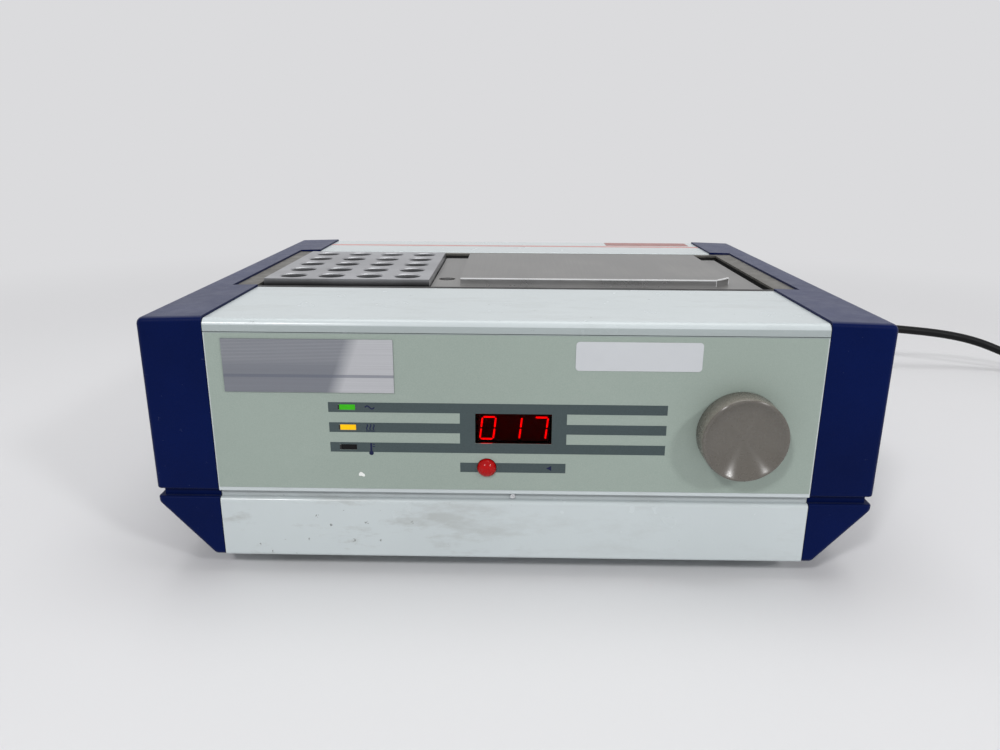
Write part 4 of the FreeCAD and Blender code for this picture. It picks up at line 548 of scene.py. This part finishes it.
CORD_RADIUS = 3.4
CORD_ROUTE = [
    (104.0, 156.75, 48.0),
    (104.0, 177.0, 48.0),
    (113.5, 199.5, 46.8),
    (129.5, 215.5, 45.6),
    (151.0, 223.6, 44.0),
    (196.0, 226.2, 41.6),
    (245.0, 227.4, 39.0),
    (292.0, 227.2, 36.2),
    (335.0, 226.2, 33.4),
    (372.0, 224.6, 30.2),
    (400.0, 221.0, 24.8),
    (424.0, 215.6, 15.4),
    (447.0, 208.6, 7.2),
    (466.0, 200.9, 4.5),
    (484.0, 194.4, 4.4),
]
COIL_MIDDLE = (476.0, 148.0)
COIL_OUTER = 45.3
COIL_PITCH = 6.8
COIL_LOW = 4.4
# Degrees of travel along the coil: where it begins, its step and its last point, and where it changes
# its ring or its layer, each change over COIL_SHIFT
COIL_START = 80.0
COIL_STEP = 18
COIL_LAST = 1872
COIL_SHIFT = 50
COIL_INWARDS = (200, 560)
COIL_STEP_UP = 865
COIL_OUTWARDS = (1170, 1530)
# The tail runs forward from the coil's right side: (distance from its middle, height)
CORD_TAIL = ((-8, 11.0), (-20, 10.4), (-34, 9.4), (-47, 9.2), (-56, 9.2))


def eased(value):
    value = min(1.0, max(0.0, value))
    return value * value * (3 - 2 * value)


def coil_points():
    """Inwards over three rings on the bench, one step up, and out again on top, always a diameter apart."""
    # A quadratic spline runs inside its control points by this much
    swell = 1 / (0.75 + 0.25 * math.cos(math.radians(COIL_STEP)))
    points = []
    for travel in range(COIL_STEP, COIL_LAST + 1, COIL_STEP):
        radius = COIL_OUTER
        radius -= COIL_PITCH * sum(eased((travel - start) / COIL_SHIFT) for start in COIL_INWARDS)
        radius += COIL_PITCH * sum(eased((travel - start) / COIL_SHIFT) for start in COIL_OUTWARDS)
        height = COIL_LOW + COIL_PITCH * eased((travel - COIL_STEP_UP) / COIL_SHIFT)
        angle = math.radians(COIL_START - travel)
        points.append((COIL_MIDDLE[0] + radius * swell * math.cos(angle),
                       COIL_MIDDLE[1] + radius * swell * math.sin(angle), height))
    return points


def make_cord():
    side = COIL_MIDDLE[0] + COIL_OUTER
    tail = [(side, COIL_MIDDLE[1] + offset, height) for offset, height in CORD_TAIL]
    points = CORD_ROUTE + coil_points() + tail
    curve = bpy.data.curves.new("mains_cord", "CURVE")
    curve.dimensions = "3D"
    spline = curve.splines.new("NURBS")
    spline.points.add(len(points) - 1)
    for point, place in zip(spline.points, points):
        point.co = (*mm(*place), 1)
    spline.order_u = 3
    spline.use_endpoint_u = True
    spline.resolution_u = 5
    curve.bevel_depth = CORD_RADIUS * MM
    curve.bevel_resolution = 4
    curve.materials.append(FINISHES["cord"])
    cord = bpy.data.objects.new("mains_cord", curve)
    bpy.context.collection.objects.link(cord)
    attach(cord, "case")
    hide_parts("power_cord", "cord_coil", "cord_tail")


make_cord()
dress_nodes()


# Mesh pieces

def piece(name, body, finish, build, smooth=False):
    """A mesh piece: build fills a bmesh in millimetres."""
    shape = bmesh.new()
    build(shape)
    bmesh.ops.scale(shape, vec=(MM, MM, MM), verts=shape.verts)
    bmesh.ops.recalc_face_normals(shape, faces=shape.faces)
    mesh = bpy.data.meshes.new(name)
    shape.to_mesh(mesh)
    shape.free()
    mesh.materials.append(FINISHES[finish])
    for polygon in mesh.polygons:
        polygon.use_smooth = smooth
    made = bpy.data.objects.new(name, mesh)
    bpy.context.collection.objects.link(made)
    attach(made, body)
    return made


def prism(shape, outline, place, back, front):
    """An outline of (u, v) points made solid between two depths; place turns (u, v, depth) into x, y, z."""
    rings = [[shape.verts.new(place(u, v, depth)) for u, v in outline] for depth in (back, front)]
    shape.faces.new(rings[0])
    shape.faces.new(rings[1][::-1])
    count = len(outline)
    for i in range(count):
        j = (i + 1) % count
        shape.faces.new((rings[0][i], rings[1][i], rings[1][j], rings[0][j]))


def on_front(u, v, depth):
    return (u, depth, v)


def on_top(u, v, depth):
    return (u, v, depth)


def on_side(u, v, depth):
    return (depth, u, v)


def rectangle(u0, u1, v0, v1):
    return [(u0, v0), (u1, v0), (u1, v1), (u0, v1)]


def sheet_of_rectangles(shape, solids, holes, place, back, front):
    """One clean slab covering the solid rectangles (u0, u1, v0, v1) but not the holes."""
    everything = solids + holes
    us = sorted({value for r in everything for value in r[:2]})
    vs = sorted({value for r in everything for value in r[2:]})

    def inside(rectangles, u, v):
        return any(r[0] < u < r[1] and r[2] < v < r[3] for r in rectangles)

    corners = {}
    faces = []
    for u0, u1 in zip(us, us[1:]):
        for v0, v1 in zip(vs, vs[1:]):
            middle = ((u0 + u1) / 2, (v0 + v1) / 2)
            if inside(solids, *middle) and not inside(holes, *middle):
                ring = []
                for key in rectangle(u0, u1, v0, v1):
                    if key not in corners:
                        corners[key] = shape.verts.new(place(*key, back))
                    ring.append(corners[key])
                faces.append(shape.faces.new(ring))
    grown = bmesh.ops.extrude_face_region(shape, geom=faces)
    moved = [item for item in grown["geom"] if isinstance(item, bmesh.types.BMVert)]
    lift = Vector(place(0, 0, front)) - Vector(place(0, 0, back))
    bmesh.ops.translate(shape, vec=lift, verts=moved)


def ribbon(points, width):
    """The outline of a stroke of constant width along a line of points."""
    left = []
    right = []
    for i, point in enumerate(points):
        before = Vector(points[max(0, i - 1)])
        after = Vector(points[min(len(points) - 1, i + 1)])
        along = (after - before).normalized()
        across = Vector((-along.y, along.x)) * width / 2
        left.append(tuple(Vector(point) + across))
        right.append(tuple(Vector(point) - across))
    return left + right[::-1]


# Printing on the front film: three bars that join in a block round the display, and the button's own bar

FACE = box_mm("fascia_overlay")[0][1]
INK = 0.03
BAR_HALF = 2.2
BARS = (79.6, 70.6, 61.6)
BAR_LEFT, BAR_RIGHT = -78.2, 64.5
BLOCK_LEFT, BLOCK_RIGHT = -22.7, 22.5
LAMPS = ("power_led", "heat_led", "limit_led")
LAMP_GAP = 0.65
WINDOW_MARGIN = 0.12
BUTTON_X, BUTTON_Z = -11.3, 52.8
BUTTON_RING = 4.35
RING_STEPS = 6
# The marks beside the lamps stand about this X
MARKS_X = -60.7


def button_bar(side, end):
    """Half of the button's bar, from its end in to the clear ring round the button."""
    half_angle = math.asin(BAR_HALF / BUTTON_RING)
    turns = [half_angle * (i / RING_STEPS - 1) for i in range(2 * RING_STEPS + 1)]
    arc = [(BUTTON_X + side * BUTTON_RING * math.cos(a), BUTTON_Z + BUTTON_RING * math.sin(a)) for a in turns]
    return [(end, BUTTON_Z - BAR_HALF), (end, BUTTON_Z + BAR_HALF)] + arc[::-1]


def printed_bars(shape):
    bars = [(BAR_LEFT, BAR_RIGHT, z - BAR_HALF, z + BAR_HALF) for z in BARS]
    block = (BLOCK_LEFT, BLOCK_RIGHT, BARS[2] - BAR_HALF, BARS[0] + BAR_HALF)
    holes = []
    for node in ("display_window", *LAMPS):
        low, high = box_mm(node)
        left = low[0] - (LAMP_GAP if node in LAMPS else WINDOW_MARGIN)
        holes.append((left, high[0] + WINDOW_MARGIN, low[2] - WINDOW_MARGIN, high[2] + WINDOW_MARGIN))
    sheet_of_rectangles(shape, bars + [block], holes, on_front, FACE, FACE - INK)
    for side, end in ((1, BLOCK_RIGHT), (-1, BLOCK_LEFT)):
        prism(shape, button_bar(side, end), on_front, FACE, FACE - INK)


def lamp_gaps(shape):
    """The dark slit that each lamp leaves at the left of its window."""
    clear = 0.02
    for node in LAMPS:
        low, high = box_mm(node)
        slit = rectangle(low[0] - LAMP_GAP, low[0] - clear, low[2], high[2])
        prism(shape, slit, on_front, FACE, FACE - INK / 2)


def wave():
    half_long, tall, stroke, steps = 2.0, 0.66, 0.55, 8
    line = [(MARKS_X + half_long * i / steps, BARS[0] - tall * math.sin(math.pi * i / steps))
            for i in range(-steps, steps + 1)]
    return ribbon(line, stroke)


def heat_curl(offset):
    half_tall, sway, lift, stroke, steps = 1.25, 0.25, 0.2, 0.48, 4
    line = [(MARKS_X + offset + sway * math.sin(math.pi * i / steps), BARS[1] + lift + half_tall * i / steps)
            for i in range(-steps, steps + 1)]
    return ribbon(line, stroke)


def hot_plate():
    """The line that the heat rises from."""
    half_long, drop, thick = 1.9, 1.75, 0.35
    low = BARS[1] - drop
    return rectangle(MARKS_X - half_long, MARKS_X + half_long, low, low + thick)


def thermometer():
    """A round bulb with a stem, outlined from the stem's left foot round the bulb and up."""
    bulb, stem, steps = 1.0, 0.42, 20
    bulb_z, top_z = BARS[2] - 2.6, BARS[2] + 1.9
    neck = math.asin(stem / bulb)
    turns = [math.pi / 2 + neck + (2 * math.pi - 2 * neck) * i / steps for i in range(steps + 1)]
    round_bulb = [(MARKS_X + bulb * math.cos(a), bulb_z + bulb * math.sin(a)) for a in turns]
    return round_bulb + [(MARKS_X + stem, top_z), (MARKS_X - stem, top_z)]


def scale_line(height):
    """A short line beside the thermometer."""
    start, end, thick = 0.7, 1.6, 0.35
    low = BARS[2] + height
    return rectangle(MARKS_X + start, MARKS_X + end, low, low + thick)


def press_here():
    """A triangle near the right end of the button's bar that points at the button."""
    tip, base, half_tall = 14.2, 16.4, 1.15
    return [(tip, BUTTON_Z), (base, BUTTON_Z + half_tall), (base, BUTTON_Z - half_tall)]


def printed_marks(shape):
    """A wave beside the power lamp, rising heat beside the second, a thermometer beside the third."""
    heat = [heat_curl(offset) for offset in (-1.4, 0.0, 1.4)] + [hot_plate()]
    thermometer_and_scale = [thermometer(), scale_line(0.2), scale_line(1.2)]
    for outline in [wave()] + heat + thermometer_and_scale + [press_here()]:
        prism(shape, outline, on_front, FACE - INK, FACE - INK * 2)


piece("printed_bars", "case", "slate", printed_bars)
piece("printed_marks", "case", "marks", printed_marks)
piece("lamp_gaps", "case", "dark", lamp_gaps)


# Seven-segment digits behind the window

DIGIT_TALL = 10.6
DIGIT_WIDE = 6.4
DIGIT_PITCH = 11.1
DIGIT_SLANT = 0.115
# The digits stand this far right of the part's middle and below their module's
DIGITS_RIGHT, DIGITS_DOWN = 0.2, 0.5
DIGIT_PROUD, DIGIT_THICK = 0.02, 0.1
SEGMENT = 0.7
SEGMENT_GAP = 0.24
SEGMENTS = {"0": "abcdef", "1": "bc", "7": "abc"}


def segment_outline(letter):
    """A bar with pointed ends, in the digit's own frame with the digit's middle at the origin."""
    half = SEGMENT / 2
    x, z = DIGIT_WIDE / 2 - half, DIGIT_TALL / 2 - half
    ends = {
        "a": ((-x, z), (x, z)), "b": ((x, 0), (x, z)), "c": ((x, -z), (x, 0)),
        "d": ((-x, -z), (x, -z)), "e": ((-x, -z), (-x, 0)), "f": ((-x, 0), (-x, z)),
    }
    (x0, z0), (x1, z1) = ends[letter]
    if z0 == z1:
        x0, x1 = x0 + SEGMENT_GAP, x1 - SEGMENT_GAP
        return [(x0, z0), (x0 + half, z0 + half), (x1 - half, z0 + half), (x1, z0),
                (x1 - half, z0 - half), (x0 + half, z0 - half)]
    z0, z1 = z0 + SEGMENT_GAP, z1 - SEGMENT_GAP
    return [(x0, z0), (x0 + half, z0 + half), (x0 + half, z1 - half), (x0, z1),
            (x0 - half, z1 - half), (x0 - half, z0 + half)]


def digits(shape):
    low, high = box_mm("display_module")
    middle_z = (low[2] + high[2]) / 2 - DIGITS_DOWN
    back = low[1] - DIGIT_PROUD
    for place, digit in zip((-1, 0, 1), "017"):
        middle_x = place * DIGIT_PITCH + DIGITS_RIGHT
        for letter in SEGMENTS[digit]:
            outline = [(middle_x + u + v * DIGIT_SLANT, middle_z + v) for u, v in segment_outline(letter)]
            prism(shape, outline, on_front, back, back - DIGIT_THICK)


piece("display_digits", "case", "digits", digits)


# A faded stripe and a patch of film on the rear cover

STRIPE_HALF = 128.0
STRIPE_FRONT, STRIPE_BACK = 109.8, 115.4
STRIPE_THICK = 0.03
PATCH_LEFT, PATCH_RIGHT = 65.0, 123.0
PATCH_FRONT = 118.6
PATCH_THICK = 0.08
COVER_BEND = 3.0


def rear_stripe(shape):
    top = box_mm("rear_cover")[1][2]
    stripe = rectangle(-STRIPE_HALF, STRIPE_HALF, STRIPE_FRONT, STRIPE_BACK)
    prism(shape, stripe, on_top, top, top + STRIPE_THICK)


def rear_patch(shape):
    """A thin film that runs over the first 60 degrees of the rear bend."""
    high = box_mm("rear_cover")[1]
    middle = (high[1] - COVER_BEND, high[2] - COVER_BEND)
    bend = [math.radians(degrees) for degrees in range(0, 61, 10)]

    def profile(rise):
        radius = COVER_BEND + rise
        arc = [(middle[0] + radius * math.sin(turn), middle[1] + radius * math.cos(turn)) for turn in bend]
        return [(PATCH_FRONT, high[2] + rise)] + arc

    prism(shape, profile(PATCH_THICK) + profile(0)[::-1], on_side, PATCH_LEFT, PATCH_RIGHT)


piece("rear_stripe", "case", "stripe", rear_stripe)
piece("rear_patch", "case", "patch", rear_patch)


# The plate block's raised pad: pale strips along its top edge and its front corners are a painted highlight

# The pad's sides from the block's, the size of its clipped corner, and its height
PAD_LEFT, PAD_RIGHT, PAD_FRONT = 15.2, 14.5, 5.5
PAD_CLIP = 8.5
PAD_TALL = 3.7
# The width of each strip, and how far it stands proud
TOP_EDGE = (0.6, 0.09)
CORNER_EDGE = (0.32, 0.05)


def strip(shape, ends, across, up, wide, proud):
    """A square bar along an edge, sunk in both faces by its width and standing proud of them."""
    corners = ((0, 0), (wide, 0), (wide, wide), (0, wide))
    rings = []
    for end in ends:
        outer = end - across * proud + up * proud
        rings.append([shape.verts.new(outer + across * a - up * b) for a, b in corners])
    for i in range(4):
        j = (i + 1) % 4
        shape.faces.new((rings[0][i], rings[0][j], rings[1][j], rings[1][i]))
    shape.faces.new(rings[0])
    shape.faces.new(rings[1][::-1])


def pad_highlight_strips(shape):
    low, high = box_mm("plate_block")
    left, right = low[0] + PAD_LEFT, high[0] - PAD_RIGHT
    front, top = low[1] + PAD_FRONT, high[2]
    line = [Vector((left, front, top)), Vector((right - PAD_CLIP, front, top)),
            Vector((right, front + PAD_CLIP, top))]
    for start, end in zip(line, line[1:]):
        along = (end - start).normalized()
        strip(shape, (start, end), Vector((-along.y, along.x, 0)), Vector((0, 0, 1)), *TOP_EDGE)
    for place in line[1:]:
        foot = place - Vector((0, 0, PAD_TALL))
        strip(shape, (foot, place), Vector((-0.7, 0.7, 0)), Vector((-0.7, -0.7, 0)), *CORNER_EDGE)


piece("pad_painted_highlights", "plate_block", "painted_glint", pad_highlight_strips)


# The knob as seen, with a face that is dished deeper than the solid's

KNOB_STEPS = 96
# The dish: its radius, its depth at the middle, and the power and number of steps of its curve
DISH_RADIUS = 17.0
DISH_DEEP = 3.7
DISH_POWER = 3.2
DISH_STEPS = 24
# The rounding between dish and skirt: where it starts, its own radius, and its points' turns in radians
ROUNDING_START = 17.2
ROUNDING = 0.7
ROUNDING_TURNS = (0.1, 0.4, 0.8, 1.2, math.pi / 2)
SKIRT_WALL = 2.2
# The underside inside the skirt: its radius and its depth behind the front
UNDERSIDE = (15.4, 5.2)


def knob_profile():
    """(radius, depth behind the front) from the middle of the face round to the skirt's inner edge."""
    low, high = box_mm("control_knob")
    deep = high[1] - low[1]
    skirt = (high[0] - low[0]) / 2
    shares = [i / DISH_STEPS for i in range(DISH_STEPS + 1)]
    face = [(DISH_RADIUS * share, DISH_DEEP * (1 - share ** DISH_POWER)) for share in shares]
    edge = [(ROUNDING_START + ROUNDING * math.sin(a), ROUNDING - ROUNDING * math.cos(a))
            for a in ROUNDING_TURNS]
    return face + edge + [(skirt, deep), (skirt - SKIRT_WALL, deep), UNDERSIDE]


def dressed_knob(shape):
    low, high = box_mm("control_knob")
    x, z = (low[0] + high[0]) / 2, (low[2] + high[2]) / 2
    profile = knob_profile()
    turns = [2 * math.pi * i / KNOB_STEPS for i in range(KNOB_STEPS)]
    middle = shape.verts.new((x, low[1] + profile[0][1], z))
    rings = []
    for radius, depth in profile[1:]:
        ring = [(x + radius * math.cos(a), low[1] + depth, z + radius * math.sin(a)) for a in turns]
        rings.append([shape.verts.new(point) for point in ring])
    for i in range(KNOB_STEPS):
        j = (i + 1) % KNOB_STEPS
        shape.faces.new((middle, rings[0][i], rings[0][j]))
        for inner, outer in zip(rings, rings[1:]):
            shape.faces.new((inner[i], outer[i], outer[j], inner[j]))
    shape.faces.new(rings[-1][::-1])


knob = piece("dished_knob", "knob", "knob", dressed_knob, smooth=True)
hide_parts("control_knob")


# Floor, light and air, in metres and watts

BACKGROUND = tone(219, 219, 221)
PAPER = tone(224, 224, 226)
# The floor fades into the background between these distances from the object's middle
FADE_START, FADE_END = 0.42, 1.05
FLOOR_RADIUS = 9.0
FLOOR_DROP = 0.0002
AIR_LIGHT = 0.44
# Each lamp: its name, its place, what it points at, its size and its power
STUDIO_LAMPS = (
    ("overhead", (0.05, 0.13, 1.3), (0, 0, 0.1), (1.2, 0.7), 6.4),
    ("front_right", (1.40, -1.49, 1.19), (0, 0, 0.06), (0.24, 0.24), 12.0),
    ("front_left", (-0.76, -1.64, 1.43), (0, 0, 0.06), (0.24, 0.24), 15.0),
)


def seen_rays(tree):
    """1 for the rays that show the background as it is: from the camera, by reflection or through glass."""
    path = tree.nodes.new("ShaderNodeLightPath")
    total = path.outputs["Is Camera Ray"]
    for kind in ("Is Glossy Ray", "Is Transmission Ray"):
        most = tree.nodes.new("ShaderNodeMath")
        most.operation = "MAXIMUM"
        tree.links.new(total, most.inputs[0])
        tree.links.new(path.outputs[kind], most.inputs[1])
        total = most.outputs[0]
    return total


def make_floor():
    """Pale paper that fades into the background with the distance from the object."""
    f = Finish("floor_paper", rough=0.6)
    f.set(Base_Color=f.mottled(PAPER, 0.985, 1.0, scale=3, detail=3))
    away = f.node("ShaderNodeVectorMath", {0: f.place}, operation="LENGTH").outputs["Value"]
    reach = {"Value": away, "From Min": FADE_START, "From Max": FADE_END}
    fade = f.node("ShaderNodeMapRange", reach, interpolation_type="SMOOTHSTEP").outputs["Result"]
    far = f.node("ShaderNodeEmission", {"Color": BACKGROUND, "Strength": 1.0}).outputs[0]
    seen = f.times(fade, seen_rays(f.tree))
    mixed = f.node("ShaderNodeMixShader", {0: seen, 1: f.shader.outputs[0], 2: far})
    f.tree.links.new(mixed.outputs[0], f.tree.nodes["Material Output"].inputs[0])
    shape = bmesh.new()
    bmesh.ops.create_circle(shape, cap_ends=True, segments=96, radius=FLOOR_RADIUS)
    mesh = bpy.data.meshes.new("floor")
    shape.to_mesh(mesh)
    shape.free()
    mesh.materials.append(f.material)
    floor = bpy.data.objects.new("floor", mesh)
    floor.location.z = -FLOOR_DROP
    bpy.context.collection.objects.link(floor)


def make_world():
    """Even white light, behind a background that has the floor's far colour."""
    world = bpy.data.worlds.new("studio")
    world.use_nodes = True
    tree = world.node_tree
    tree.nodes.clear()
    mixed = tree.nodes.new("ShaderNodeMixShader")
    tree.links.new(seen_rays(tree), mixed.inputs[0])
    for slot, colour, strength in ((1, (1, 1, 1), AIR_LIGHT), (2, BACKGROUND, 1.0)):
        air = tree.nodes.new("ShaderNodeBackground")
        air.inputs["Color"].default_value = (*colour, 1)
        air.inputs["Strength"].default_value = strength
        tree.links.new(air.outputs[0], mixed.inputs[slot])
    out = tree.nodes.new("ShaderNodeOutputWorld")
    tree.links.new(mixed.outputs[0], out.inputs[0])
    bpy.context.scene.world = world


def make_lamp(name, place, target, size, power):
    data = bpy.data.lights.new(name, "AREA")
    data.shape = "RECTANGLE"
    data.size, data.size_y = size
    data.energy = power
    lamp_object = bpy.data.objects.new(name, data)
    lamp_object.location = place
    away = Vector(target) - Vector(place)
    lamp_object.rotation_euler = away.to_track_quat("-Z", "Y").to_euler()
    bpy.context.collection.objects.link(lamp_object)


make_floor()
make_world()
for studio_lamp in STUDIO_LAMPS:
    make_lamp(*studio_lamp)
bpy.context.scene.view_settings.view_transform = "Standard"
